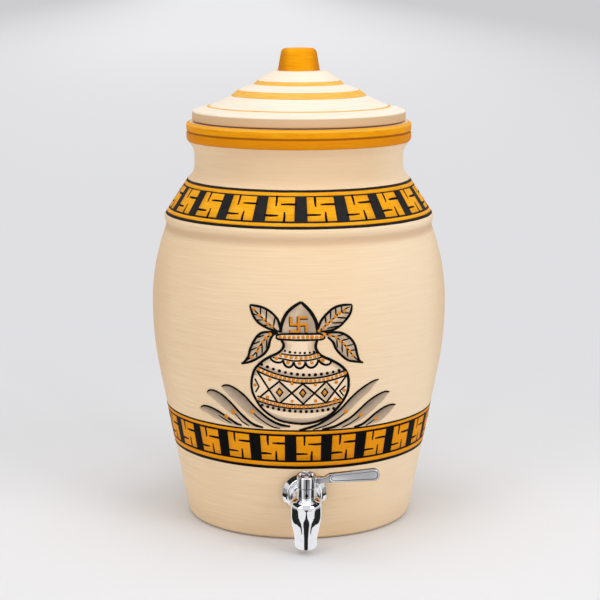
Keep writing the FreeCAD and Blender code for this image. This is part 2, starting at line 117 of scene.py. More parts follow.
class Tree:
    # a node tree whose nodes are all made by the one method add

    def __init__(self, nodeTree):
        self.nodeTree = nodeTree
        nodeTree.nodes.clear()

    def add(self, kind, inputs=None, **settings):
        node = self.nodeTree.nodes.new(kind)
        for name, value in settings.items():
            setattr(node, name, value)
        for name, value in (inputs or {}).items():
            if isinstance(value, Value):
                self.nodeTree.links.new(value.socket, node.inputs[name])
            else:
                node.inputs[name].default_value = value
        return Node(self, node)

    def mix(self, share, first, second):
        inputs = {0: share}
        for index, value in ((6, first), (7, second)):
            inputs[index] = value if isinstance(value, Value) else asLinear(value)
        return self.add("ShaderNodeMix", inputs, data_type="RGBA").out(2)

    def vector(self, x, y, z):
        return self.add("ShaderNodeCombineXYZ", {0: x, 1: y, 2: z}).out(0)

    def noise(self, vector, scale=1.0, detail=2.0, roughness=0.5):
        inputs = {"Vector": vector, "Scale": scale, "Detail": detail, "Roughness": roughness}
        return self.add("ShaderNodeTexNoise", inputs).out(0)

    def layer(self, value, band, under, over):
        # lays one colour over another; band says where it starts, where it is full, and how much
        low, high, share = band
        return self.mix(value.contrast(low, high) * share, under, over)

    def bump(self, height, relief):
        distance, strength = relief
        inputs = {"Height": height, "Distance": distance, "Strength": strength}
        return self.add("ShaderNodeBump", inputs).out(0)

    def seen(self):
        # 1 for rays that look at the backdrop, straight or by way of metal, 0 for those that carry light
        path = self.add("ShaderNodeLightPath")
        mirrored = path.out("Is Glossy Ray").larger(path.out("Is Transmission Ray"))
        return path.out("Is Camera Ray").larger(mirrored)


class Paint(Tree):
    # a material with one surface shader, read in the object's own coordinates

    sockets = {
        "colour": "Base Color", "rough": "Roughness", "metal": "Metallic", "normal": "Normal",
        "specular": "Specular IOR Level", "glow": "Emission Color", "glowStrength": "Emission Strength",
    }

    def __init__(self, name):
        self.material = bpy.data.materials.new(name)
        self.material.use_nodes = True
        super().__init__(self.material.node_tree)
        place = self.add("ShaderNodeTexCoord")
        self.place = place.out("Object")
        self.facing = place.out("Normal")
        split = self.add("ShaderNodeSeparateXYZ", {0: self.place})
        self.x, self.y, self.z = split.out("X"), split.out("Y"), split.out("Z")
        self.radius = (self.x * self.x + self.y * self.y).root()

    def surface(self, **inputs):
        named = {self.sockets[name]: value for name, value in inputs.items()}
        return self.add("ShaderNodeBsdfPrincipled", named).out("BSDF")

    def finish(self, shader):
        self.add("ShaderNodeOutputMaterial", {"Surface": shader})
        return self.material


# Floor, lights and what the metal mirrors

studioSettings = {
    "floorColour": (232, 232, 234),
    "floorSize": 90.0,
    "floorRough": 0.9,
    "floorSpecular": 0.1,
    # metres from the pot: where the lit floor gives way to a plain tone, and where that tone changes
    "litTo": (0.3, 0.9),
    "farFrom": (1.5, 12.0),
    "sideShadeFrom": (0.4, 3.2),
    # painted shade: the plain tone is darker nearer the pot, and darker still towards the sides
    "floorNear": (224, 224, 227),
    "floorFar": (236, 236, 238),
    "floorSideShade": (205, 204, 207),
    "skyStrength": 0.50,
    "lamps": [
        # name, place, aim, size, watts
        ("keyLamp", (1.75, -1.75, 1.5), (0, 0, 0.22), (1.3, 1.5), 22.6),
        ("fillLamp", (-1.75, -1.8, 1.35), (0, 0, 0.20), (1.3, 1.6), 15.8),
        ("topLamp", (0.0, -0.1, 2.3), (0, 0, 0.3), (1.5, 1.5), 19.0),
    ],
}
flankRows = [
    # distance from the valve's axis in metres, degrees from and to
    (0.020, 40, 46), (0.030, 38, 54), (0.042, 40, 76), (0.060, 50, 112), (0.085, 62, 122), (0.14, 66, 122),
]
cardSettings = {
    "centre": (0.0, -143.65 * mm, 0.0),
    "steps": 12,
    # what only metal mirrors, round the tap: height, brightness, and rows of distance,
    # degrees from and to, and the row's own height where it has one
    "cards": [
        ("cardWhite", 0.0003, 1.0, [(0.003, -155, 155), (0.90, -155, 155)]),
        ("cardMiddle", 0.0006, 0.02, [(0.003, -22, 22), (0.035, -24, 24), (0.048, -20, 20), (0.062, -8, 8),
                                      (0.070, -3, 3), (0.080, -3, 3), (0.086, -9, 9), (0.11, -11, 11)]),
        ("cardMiddleFar", 0.0006, 0.16, [(0.11, -14, 14), (0.60, -14, 14)]),
        ("cardLeverGrey", 0.0008, 0.45, [(0.10, 9, 37), (0.18, 9, 37)]),
        ("cardFlankRight", 0.0006, 0.02, flankRows),
        ("cardFlankLeft", 0.0006, 0.02, [(distance, -end, -start) for distance, start, end in flankRows]),
        ("cardHighRight", 0.0, 0.02, [(0.8, 58, 120, 0.25), (0.5, 40, 120, 0.9)]),
        ("cardHighLeft", 0.0, 0.02, [(0.8, -120, -58, 0.25), (0.5, -120, -40, 0.9)]),
        ("cardSideRight", 0.0006, 0.34, [(0.14, 66, 120), (0.60, 66, 120)]),
        ("cardSideLeft", 0.0006, 0.34, [(0.14, -120, -66), (0.60, -120, -66)]),
    ],
}


def makeStage(name, bm, material):
    mesh = bpy.data.meshes.new(name)
    bm.to_mesh(mesh)
    bm.free()
    piece = bpy.data.objects.new(name, mesh)
    bpy.context.scene.collection.objects.link(piece)
    mesh.materials.append(material)
    return piece


def glow(tree, colour, strength):
    return tree.add("ShaderNodeEmission", {"Color": colour, "Strength": strength}).out(0)


def makeFloor(s):
    bm = bmesh.new()
    bmesh.ops.create_grid(bm, x_segments=2, y_segments=2, size=s["floorSize"])
    paint = Paint("studioFloorPaint")
    lit = paint.surface(colour=asLinear(s["floorColour"]), rough=s["floorRough"], specular=s["floorSpecular"])
    # painted shade: the plain tone darkens nearer the pot and towards the sides
    tone = paint.mix(paint.radius.contrast(*s["farFrom"]), s["floorNear"], s["floorFar"])
    tone = paint.mix(abs(paint.x).contrast(*s["sideShadeFrom"]), tone, s["floorSideShade"])
    shown = paint.surface(colour=(0, 0, 0, 1), rough=1.0, specular=0.0, glow=tone, glowStrength=1.0)
    share = paint.seen() * paint.radius.contrast(*s["litTo"])
    both = paint.add("ShaderNodeMixShader", {0: share, 1: lit, 2: shown})
    makeStage("studioFloor", bm, paint.finish(both.out(0)))


def makeWorld(s):
    world = bpy.data.worlds.new("studioWorld")
    bpy.context.scene.world = world
    world.use_nodes = True
    tree = Tree(world.node_tree)
    light = tree.add("ShaderNodeBackground", {"Color": (1, 1, 1, 1), "Strength": s["skyStrength"]})
    shown = tree.add("ShaderNodeBackground", {"Color": asLinear(s["floorFar"]), "Strength": 1.0})
    both = tree.add("ShaderNodeMixShader", {0: tree.seen(), 1: light.out(0), 2: shown.out(0)})
    tree.add("ShaderNodeOutputWorld", {"Surface": both.out(0)})


def makeLamps(s):
    for name, place, aim, size, watts in s["lamps"]:
        data = bpy.data.lights.new(name, "AREA")
        data.shape = "RECTANGLE"
        data.size, data.size_y = size
        data.energy = watts
        lamp = bpy.data.objects.new(name, data)
        lamp.location = place
        lamp.rotation_euler = (Vector(aim) - Vector(place)).to_track_quat("-Z", "Y").to_euler()
        bpy.context.scene.collection.objects.link(lamp)


def makeCards(s):
    for name, height, strength, rows in s["cards"]:
        bm = bmesh.new()
        made = bmesh.ops.create_grid(bm, x_segments=s["steps"], y_segments=len(rows) - 1, size=0.5)
        for vert in made["verts"]:
            distance, start, end, *level = rows[round((vert.co.y + 0.5) * (len(rows) - 1))]
            around = math.radians(start + (end - start) * (vert.co.x + 0.5))
            x, y = distance * math.sin(around), -distance * math.cos(around)
            vert.co = (x, y, level[0] if level else height)
        bmesh.ops.translate(bm, verts=bm.verts, vec=s["centre"])
        paint = Paint(name + "Paint")
        card = makeStage(name, bm, paint.finish(glow(paint, (1, 1, 1, 1), strength)))
        card.visible_camera = card.visible_diffuse = card.visible_shadow = False
        card.visible_transmission = card.visible_volume_scatter = False


makeFloor(studioSettings)
makeWorld(studioSettings)
makeLamps(studioSettings)
makeCards(cardSettings)
print("stage: floor, lights and cards")


# The pot's outside as the potter's outline, so that paint can be laid on it

potOutline = [
    # radius, height, rounding of that corner, all in millimetres
    (100.7, 0.0, 5.0),
    (132.0, 163.0, 310.0),
    (132.0, 229.4, 198.0),
    (118.6, 265.2, 6.0),
    (121.0, 272.3, 4.0),
    (99.0, 305.9, 1.2),
    (93.2, 312.5, 14.0),
    (93.2, 331.5, 12.0),
    (100.0, 341.0, 5.0),
    (100.0, 346.2, 1.2),
    (98.9, 347.7, 1.0),
    (100.0, 349.2, 1.2),
    (100.0, 355.8, 2.5),
    (88.5, 355.8, 0.0),
]
lidOutline = [
    (95.0, 356.9, 0.0),
    (94.8, 365.8, 2.2),
    (78.6, 370.0, 2.0),
    (59.6, 378.8, 2.0),
    (54.0, 383.6, 2.0),
    (38.9, 389.4, 1.5),
    (36.5, 392.2, 1.5),
    (25.0, 400.1, 6.0),
    (18.6, 400.5, 0.8),
    (15.2, 420.0, 4.5),
    (0.0, 420.0, 0.0),
]


skinSettings = {
    "step": 1.5,                   # along the arc of a rounded corner, in millimetres
    "leastSteps": 4,
}


class Skin:
    # a turned outline, read by the distance along it

    def __init__(self, corners):
        points = [Vector(corners[0][:2])]
        for before, corner, after in zip(corners, corners[1:], corners[2:]):
            points += self.rounded(Vector(before[:2]), Vector(corner[:2]), Vector(after[:2]), corner[2])
        points.append(Vector(corners[-1][:2]))
        self.points = points
        self.marks = [0.0]
        for start, end in zip(points, points[1:]):
            self.marks.append(self.marks[-1] + (end - start).length)

    def rounded(self, before, corner, after, radius):
        if radius == 0.0:
            return [corner]
        back, ahead = (before - corner).normalized(), (after - corner).normalized()
        half = math.acos(max(-1.0, min(1.0, back.dot(ahead)))) / 2
        centre = corner + (back + ahead).normalized() * (radius / math.sin(half))
        start = corner + back * (radius / math.tan(half))
        end = corner + ahead * (radius / math.tan(half))
        turn = (start - centre).angle_signed(end - centre)
        count = max(skinSettings["leastSteps"], math.ceil(abs(turn) * radius / skinSettings["step"]))
        spoke = start - centre
        return [centre + Matrix.Rotation(-turn * k / count, 2) @ spoke for k in range(count + 1)]

    def at(self, distance):
        # the point and the outward normal, that distance along the outline
        distance = max(0.0, min(self.marks[-1], distance))
        index = max(1, bisect_left(self.marks, distance))
        share = (distance - self.marks[index - 1]) / max(1e-9, self.marks[index] - self.marks[index - 1])
        run = self.points[index] - self.points[index - 1]
        return self.points[index - 1] + run * share, Vector((run.y, -run.x)).normalized()

    def reach(self, height):
        # the distance along the outline at which it first gets to that height
        return self.first(lambda point: point.y - height)

    def reachIn(self, radius, foot=0.0):
        # the distance along it at which it has come in to that radius, above that height
        return self.first(lambda point: radius - point.x if point.y > foot else -1.0)

    def first(self, excess):
        for index in range(1, len(self.points)):
            before, after = excess(self.points[index - 1]), excess(self.points[index])
            if before < 0.0 <= after:
                step = self.marks[index] - self.marks[index - 1]
                return self.marks[index - 1] + step * before / (before - after)
        raise ValueError("the outline never gets there")


potSkin = Skin(potOutline)
lidSkin = Skin(lidOutline)


# Flat drawings, in millimetres: x round the pot, y up its wall, z out of it

def spread(low, high, count):
    return [low + (high - low) * k / (count - 1) for k in range(count)]


drawSettings = {
    # lengths are in millimetres
    "curveSteps": 8,               # parts of a soft line between two of its points
    "tangentSpan": 0.01,           # share of a line's length over which its direction is read
    "strokeStep": 2.0,
    "leastSteps": 3,
    "swellOver": 2.5,              # a line gets to its full width over this many widths
    "shake": 0.12,                 # share of its width by which a hand's line gets broader or thinner
    "shakeScale": 0.35,
    "shakeApart": 7,
    "lap": 0.4,                    # share of its width by which a straight line runs past a corner
    "washCell": 4.0,
    "washSamples": 7,
    "leastRows": 2,
    "patchCell": 6.0,
    "tolerance": 1e-5,
    "dotSides": 12,
    "dotDome": 0.12,
    "ringColumns": 240,
    "ringShake": 0.12,
    "ringShakeScale": 9,
    "ringShakeApart": 5,
    "edgeShare": 0.01,
    "thickness": 0.16,             # of all paint
    "weld": 0.004,
    "upShare": 0.6,                # how much looking up counts as looking outwards
}


def smoothPath(points):
    # a soft line through the given points
    line = []
    last, steps = len(points) - 1, drawSettings["curveSteps"]
    for k in range(last):
        a, b, c, d = (Vector(points[max(0, min(last, k + shift))]) for shift in (-1, 0, 1, 2))
        for t in (step / steps for step in range(steps)):
            line.append(0.5 * (2 * b + (c - a) * t + (2 * a - 5 * b + 4 * c - d) * t * t
                               + (3 * b - a - 3 * c + d) * t ** 3))
    return line + [Vector(points[-1])]


class Track:
    # a line through points, read by the share of its length

    def __init__(self, points):
        self.line = smoothPath(points) if len(points) > 2 else [Vector(p) for p in points]
        self.marks = [0.0]
        for start, end in zip(self.line, self.line[1:]):
            self.marks.append(self.marks[-1] + (end - start).length)
        self.length = self.marks[-1]

    def at(self, share):
        distance = share * self.length
        index = min(len(self.marks) - 1, max(1, bisect_left(self.marks, distance)))
        span = self.marks[index] - self.marks[index - 1]
        part = (distance - self.marks[index - 1]) / max(1e-9, span)
        return self.line[index - 1].lerp(self.line[index], part)

    def across(self, share):
        span = drawSettings["tangentSpan"]
        ahead = self.at(min(1.0, share + span)) - self.at(max(0.0, share - span))
        return Vector((-ahead.y, ahead.x)).normalized()


def brushStroke(bm, points, widths, lift, tips):
    # a brush line that swells from its tips, with the widths at its start and end
    d, track = drawSettings, Track(points)
    (first, last), (thinStart, thinEnd) = widths, tips
    cells = max(d["leastSteps"], math.ceil(track.length / d["strokeStep"]))
    made = bmesh.ops.create_grid(bm, x_segments=cells, y_segments=1, size=0.5)
    for vert in made["verts"]:
        share, side = vert.co.x + 0.5, vert.co.y
        broad = first + (last - first) * share
        swell = min(1.0, thinStart + (1 - thinStart) * share * track.length / (d["swellOver"] * broad),
                    thinEnd + (1 - thinEnd) * (1 - share) * track.length / (d["swellOver"] * broad))
        point = track.at(share)
        shaken = (point.x * d["shakeScale"], point.y * d["shakeScale"], first * d["shakeApart"])
        shake = 1.0 + d["shake"] * noise.noise(Vector(shaken))
        place = point + track.across(share) * (side * broad * swell * shake)
        vert.co = (place.x, place.y, lift)


def brushCorners(bm, points, width, lift, tips=(0.9, 0.9)):
    # straight strokes from corner to corner, which lap over at the corners
    for start, end in zip(points, points[1:]):
        start, end = Vector(start), Vector(end)
        lap = (end - start).normalized() * width * drawSettings["lap"]
        brushStroke(bm, [start - lap, end + lap], (width, width), lift, tips)


def washBetween(bm, first, second, shade, lift):
    # a thin wash from one line to the other; the shade, a function of the shares along
    # and across, is 0 where the wash is pale and 1 where it is dark
    d = drawSettings
    layer = bm.verts.layers.float.get("shade") or bm.verts.layers.float.new("shade")
    first, second = Track(first), Track(second)
    widest = max((first.at(t) - second.at(t)).length for t in spread(0, 1, d["washSamples"]))
    columns = math.ceil(max(first.length, second.length) / d["washCell"])
    rows = max(d["leastRows"], math.ceil(widest / d["washCell"]))
    made = bmesh.ops.create_grid(bm, x_segments=columns, y_segments=rows, size=0.5)
    for vert in made["verts"]:
        t, v = vert.co.x + 0.5, vert.co.y + 0.5
        point = first.at(t).lerp(second.at(t), v)
        vert[layer] = shade(t, v)
        vert.co = (point.x, point.y, lift)


def paintPatch(bm, points, lift):
    # a filled shape with straight sides, cut into cells that can follow the round wall
    cell, tolerance = drawSettings["patchCell"], drawSettings["tolerance"]
    face = bm.faces.new([bm.verts.new((x, y, lift)) for x, y in points])
    geom = {face, *face.edges, *face.verts}
    for axis, normal in ((0, Vector((1, 0, 0))), (1, Vector((0, 1, 0)))):
        values = [point[axis] for point in points]
        low, high = min(values), max(values)
        for k in range(1, math.ceil((high - low) / cell)):
            made = bmesh.ops.bisect_plane(bm, geom=list(geom), dist=tolerance, plane_no=normal,
                                          plane_co=normal * (low + k * cell))
            geom = set(made["geom"])


def paintDot(bm, x, y, radius, lift):
    place, sides = Matrix.Translation((x, y, lift)), drawSettings["dotSides"]
    made = bmesh.ops.create_circle(bm, cap_ends=True, segments=sides, radius=radius, matrix=place)
    bmesh.ops.poke(bm, faces=[made["verts"][0].link_faces[0]], offset=drawSettings["dotDome"])


def layOn(bm, skin, name, finish, body, slotName, base, reference, turn=0.0):
    # wraps a flat drawing on a turned outline and gives the paint its thickness
    for vert in bm.verts:
        point, out = skin.at(base + vert.co.y)
        around = math.radians(turn) + vert.co.x / reference
        radius = (point.x + out.x * vert.co.z) * mm
        height = (point.y + out.y * vert.co.z) * mm
        vert.co = (radius * math.sin(around), -radius * math.cos(around), height)
    bmesh.ops.remove_doubles(bm, verts=bm.verts, dist=drawSettings["weld"] * mm)
    bmesh.ops.triangulate(bm, faces=[f for f in bm.faces if len(f.verts) > 4])
    turnOutwards(bm)
    bmesh.ops.solidify(bm, geom=bm.faces[:], thickness=drawSettings["thickness"] * mm)
    for face in bm.faces:
        face.smooth = True
    mesh = bpy.data.meshes.new(name)
    bm.to_mesh(mesh)
    bm.free()
    piece = bpy.data.objects.new(name, mesh)
    bpy.context.scene.collection.objects.link(piece)
    mesh.materials.append(finishes[finish])
    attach(piece, body)


def turnOutwards(bm):
    # every face of a wrapped drawing looks away from the pot's axis, or up
    bm.normal_update()
    wrong = [f for f in bm.faces if f.normal.dot(outwards(f.calc_center_median())) < 0]
    bmesh.ops.reverse_faces(bm, faces=wrong)


def outwards(point):
    return Vector((point.x, point.y, 0.0)).normalized() + Vector((0, 0, drawSettings["upShare"]))


# Finishes

claySettings = {
    "slip": (241, 211, 172),
    "slipPale": (246, 221, 186),
    # the deep tone serves the streaks and clouds, and also the painted shade on the neck
    "slipDeepAndShade": (229, 196, 154),
    "paintedLightSlip": (250, 230, 202),    # painted light: the side towards +X is paler
    "shadeSlip": (214, 176, 132),   # painted shade: both flanks, and the wall towards the foot, are darker
    "edgeShadeSlip": (232, 199, 160),
    # bare clay inside and underneath, and also the colour of the painted shadow under the bead
    "bareClayAndShade": (206, 168, 130),
    "contactShade": (104, 68, 50),     # painted shade: a dark line along the foot's edge, where it meets the floor
    "shadowLine": 264.6 * mm,      # the groove under the bead, which holds painted shadow from the bead
    # each tone as where it starts, where it is full, and how much of it is laid on
    "paleStreaks": (0.45, 0.74, 0.75),
    "deepStreaks": (0.50, 0.28, 0.40),
    "clouds": (0.45, 0.75, 0.22),
    "litSide": (0.02, 0.10, 0.42),
    "flankShade": (106.0 * mm, 134.0 * mm, 0.55),
    "neck": (305.0 * mm, 314.0 * mm, 0.6),
    "neckFront": (94.0 * mm, 50.0 * mm),
    "foot": (30.0 * mm, 0.0, 0.28),
    "contactShadeEdge": (2.7 * mm, 0.5 * mm, 0.7),
    "beadShadow": (6.2 * mm, 1.0 * mm, 0.6),
    "edge": (0.5 * mm, -0.5 * mm, 1.0),
    "inside": (0.0, -0.004),       # faces that look towards the axis, and those that look down
    "underside": (-0.65, -0.85),
    "bareShare": 0.85,
    "streakLength": 24.0,          # waves per metre round the pot
    "streakWidth": 900.0,          # waves per metre up the wall
    "grain": 900.0,
    "grainShare": 0.2,
    "relief": (0.22 * mm, 0.45),
    "rough": 0.66,
    "roughDrift": 0.10,
    "specular": 0.3,
}
# the lid's tiers are paler, partly a paler coat and partly painted light from above; its rim side below the
# edge height is darker, painted shade
lidClaySettings = dict(
    claySettings, slip=(242, 228, 208), slipPale=(246, 236, 221), slipDeepAndShade=(236, 215, 188),
    paintedLightSlip=(250, 240, 224), edgeShadeSlip=(219, 184, 143), edge=(365.1 * mm, 364.1 * mm, 1.0),
    neck=(497.0 * mm, 506.0 * mm, 0.6),   # above the lid, so it has none
)
goldSettings = {
    "gold": (248, 170, 20),
    "goldPale": (254, 198, 74),
    "goldDeep": (234, 144, 0),
    "paleStreaks": (0.48, 0.8, 0.9),
    "deepStreaks": (0.5, 0.25, 0.7),
    "clouds": (0.5, 0.75, 0.3),
    "streakLength": 60.0,
    "streakWidth": 1100.0,
    "relief": (0.12 * mm, 0.5),
    "rough": 0.55,
    "roughDrift": 0.2,
    "specular": 0.06,
}
lowGoldSettings = dict(goldSettings, gold=(238, 151, 4), goldPale=(243, 170, 20), goldDeep=(222, 132, 0))
lidGoldSettings = dict(goldSettings, gold=(240, 184, 84), goldPale=(247, 202, 112), goldDeep=(228, 148, 44))
knobGoldSettings = dict(
    goldSettings, gold=(244, 160, 6), goldPale=(250, 180, 30), goldDeep=(218, 130, 0),
    # painted shade: the knob is darker towards its left and right sides
    sides=(7.5 * mm, 17.5 * mm, 0.8), shadedSideGold=(196, 116, 4),
)
rimGoldSettings = dict(
    goldSettings, gold=(240, 157, 2), goldPale=(247, 180, 20), goldDeep=(214, 126, 0),
    # the rim's lower half is deeper, its upper edge has a painted highlight, and the line scored between them
    # holds painted shade
    lower=(348.7 * mm, 346.7 * mm, 0.6),
    topHighlightLine=354.3 * mm, topHighlight=(1.2 * mm, 0.2 * mm, 0.5), topHighlightGold=(252, 202, 92),
    # painted shade in the scored line
    scoredLine=347.7 * mm, scored=(1.5 * mm, 0.3 * mm, 0.85), scoredGold=(150, 80, 5),
)
brushSettings = {
    "slope": 0.6,                  # the streaks' level shifts by this much per metre from the axis
    "detail": 3.0,
    "roughness": 0.6,
    "cloudScale": 11.0,
}


def brushField(paint, s):
    # fine streaks that run round the axis, and broad soft clouds
    brush, length = brushSettings, s["streakLength"]
    level = (paint.z - paint.radius * brush["slope"]) * s["streakWidth"]
    place = paint.vector(paint.x * length, paint.y * length, level)
    streaks = paint.noise(place, detail=brush["detail"], roughness=brush["roughness"])
    return streaks, paint.noise(paint.place, scale=brush["cloudScale"])


def clayPaint(name, s):
    paint = Paint(name)
    streaks, clouds = brushField(paint, s)
    tone = paint.layer(streaks, s["paleStreaks"], s["slip"], s["slipPale"])
    tone = paint.layer(streaks, s["deepStreaks"], tone, s["slipDeepAndShade"])
    tone = paint.layer(clouds, s["clouds"], tone, s["slipDeepAndShade"])
    # painted light: paler on the side towards +X
    tone = paint.layer(paint.x, s["litSide"], tone, s["paintedLightSlip"])
    # painted shade: darker on both flanks
    tone = paint.layer(abs(paint.x), s["flankShade"], tone, s["shadeSlip"])
    # painted shade: the neck under the rim is darker, less so towards its sides
    neckFoot, neckHead, neckShadeShare = s["neck"]
    neck = paint.z.contrast(neckFoot, neckHead) * abs(paint.x).contrast(*s["neckFront"])
    tone = paint.mix(neck * neckShadeShare, tone, s["slipDeepAndShade"])
    # painted shade: darker towards the foot
    tone = paint.layer(paint.z, s["foot"], tone, s["shadeSlip"])
    # painted shade: a dark contact line along the foot's edge
    tone = paint.layer(paint.z, s["contactShadeEdge"], tone, s["contactShade"])
    # painted shadow in the groove under the bead
    tone = paint.layer(abs(paint.z - s["shadowLine"]), s["beadShadow"], tone, s["bareClayAndShade"])
    # darker below the edge height; on the lid this is painted shade on its rim side
    tone = paint.layer(paint.z, s["edge"], tone, s["edgeShadeSlip"])
    split = paint.add("ShaderNodeSeparateXYZ", {0: paint.facing})
    inwards = (split.out("X") * paint.x + split.out("Y") * paint.y).contrast(*s["inside"])
    under = split.out("Z").contrast(*s["underside"])
    tone = paint.mix(inwards.larger(under) * s["bareShare"], tone, s["bareClayAndShade"])
    grain = paint.noise(paint.place, scale=s["grain"])
    relief = paint.bump(streaks * (1 - s["grainShare"]) + grain * s["grainShare"], s["relief"])
    rough = s["rough"] + (grain - 0.5) * s["roughDrift"]
    return paint.finish(paint.surface(colour=tone, rough=rough, specular=s["specular"], normal=relief))


def goldPaint(name, s):
    paint = Paint(name)
    streaks, clouds = brushField(paint, s)
    tone = paint.layer(streaks, s["paleStreaks"], s["gold"], s["goldPale"])
    tone = paint.layer(streaks, s["deepStreaks"], tone, s["goldDeep"])
    tone = paint.layer(clouds, s["clouds"], tone, s["goldDeep"])
    # painted shade on the knob's left and right sides
    if "sides" in s:
        tone = paint.layer(abs(paint.x), s["sides"], tone, s["shadedSideGold"])
    if "scored" in s:
        tone = paint.layer(paint.z, s["lower"], tone, s["goldDeep"])
        # painted highlight along the rim's upper edge
        tone = paint.layer(abs(paint.z - s["topHighlightLine"]), s["topHighlight"], tone, s["topHighlightGold"])
        # painted shade in the scored line
        tone = paint.layer(abs(paint.z - s["scoredLine"]), s["scored"], tone, s["scoredGold"])
    rough = s["rough"] + (streaks - 0.5) * s["roughDrift"]
    relief = paint.bump(streaks, s["relief"])
    return paint.finish(paint.surface(colour=tone, rough=rough, specular=s["specular"], normal=relief))


handPaintSettings = {
    "drift": (0.35, 0.7),
    "detail": 3.0,
    "roughness": 0.65,
    "grain": 700.0,
    "relief": (0.06 * mm, 0.4),
    "roughDrift": 0.1,
}


def handPaint(name, base, other, rough, specular=0.2, share=0.5, scale=90.0):
    # plain hand-laid paint whose tone drifts between two colours
    s = handPaintSettings
    paint = Paint(name)
    drift = paint.noise(paint.place, scale=scale, detail=s["detail"], roughness=s["roughness"])
    tone = paint.layer(drift, (*s["drift"], share), base, other)
    relief = paint.bump(paint.noise(paint.place, scale=s["grain"]), s["relief"])
    rough = rough + (drift - 0.5) * s["roughDrift"]
    return paint.finish(paint.surface(colour=tone, rough=rough, specular=specular, normal=relief))


washSettings = {
    "pale": (238, 210, 176),
    "middle": (178, 156, 134),
    "dark": (116, 100, 84),
    "middleFrom": (0.0, 0.55, 1.0),
    "darkFrom": (0.5, 1.0, 1.0),
    "driftScale": 170.0,
    "detail": 3.0,
    "roughness": 0.6,
    "driftShare": 0.28,
    "relief": (0.05 * mm, 0.4),
    "rough": 0.62,
    "specular": 0.2,
}


def washPaint(name, s):
    # thinned grey paint, as dark as the drawing's own shade says
    paint = Paint(name)
    shade = paint.add("ShaderNodeAttribute", attribute_name="shade").out("Fac")
    drift = paint.noise(paint.place, scale=s["driftScale"], detail=s["detail"], roughness=s["roughness"])
    shade = shade + (drift - 0.5) * s["driftShare"]
    tone = paint.layer(shade, s["middleFrom"], s["pale"], s["middle"])
    tone = paint.layer(shade, s["darkFrom"], tone, s["dark"])
    relief = paint.bump(drift, s["relief"])
    return paint.finish(paint.surface(colour=tone, rough=s["rough"], specular=s["specular"], normal=relief))


metalSettings = {
    "smudge": (0.4, 0.7, 0.4),
    "scale": 220.0,
    "detail": 3.0,
    "roughDrift": 0.5,
    "reliefStrength": 0.5,
}


def metalPaint(name, colour, other, rough, scale=metalSettings["scale"], relief=0.0):
    s = metalSettings
    paint = Paint(name)
    smudge = paint.noise(paint.place, scale=scale, detail=s["detail"])
    tone = paint.layer(smudge, s["smudge"], colour, other)
    inputs = {"colour": tone, "metal": 1.0, "rough": rough + smudge * rough * s["roughDrift"]}
    if relief:
        inputs["normal"] = paint.bump(smudge, (relief * mm, s["reliefStrength"]))
    return paint.finish(paint.surface(**inputs))


tapTopSettings = {
    # a point on the valve's axis, and the axis' direction in Y and Z
    "point": (-143.905 * mm, 39.4 * mm),
    "direction": (-0.188578, 0.982058),
    "chrome": (232, 232, 235),
    "smudged": (222, 222, 226),
    # painted reflections: a grey for the bonnet's stripe and the lever's arm
    "reflectedGrey": (120, 120, 123),
    "edgeShadeGrey": (84, 84, 88),
    "dark": (22, 22, 23),
    "rough": 0.12,
    "roughDrift": 0.4,
    # tones as where they start, where they are full and how much; heights are along the axis
    "front": (3.6 * mm, 5.4 * mm),
    "stripeSide": (3.2 * mm, 2.2 * mm),
    "stripeTop": (33.6 * mm, 32.8 * mm),
    "stripeShare": 0.8,
    "reflectedBud": 17.6 * mm,              # a painted reflection: a dark bud in the bonnet's stripe
    "budEdge": (2.0 * mm, 1.0 * mm),
    "joint": 23.55 * mm,           # where the lever's collar turns on the bonnet, with painted shade in that joint
    "jointEdge": (0.7 * mm, 0.2 * mm, 0.95),
    "armRoot": (7.6 * mm, 8.6 * mm),
    "armEnd": (19.5 * mm, 18.5 * mm),
    "armShare": 0.6,
    "paddle": (19.0 * mm, 61.4 * mm),
    "paddleRoot": (18.7 * mm, 19.3 * mm),
    "paddleFoot": (25.84 * mm, 0.04007),   # height at the axis and slope of its lower and upper edge
    "paddleHead": (32.45 * mm, 0.11321),
    "corner": 4.6 * mm,
    "panelLine": 1.8 * mm,         # the sunk panel's border, in from the paddle's edge
    "panelLineEdge": (0.6 * mm, 0.1 * mm),
    "panelLineShare": 0.75,
    "rimEdge": (0.8 * mm, 0.2 * mm),
    "rimShare": 0.7,
}


def paddleDepth(paint, up, s):
    # how far in from the edge of the lever's rounded paddle
    (start, end), (foot, footSlope), (head, headSlope) = s["paddle"], s["paddleFoot"], s["paddleHead"]
    across = (up - (paint.x * footSlope + foot)).smaller(paint.x * headSlope + head - up)
    length = (paint.x - start).smaller(end - paint.x)
    short, narrow = (s["corner"] - length).larger(0.0), (s["corner"] - across).larger(0.0)
    return s["corner"] - (short * short + narrow * narrow).root()


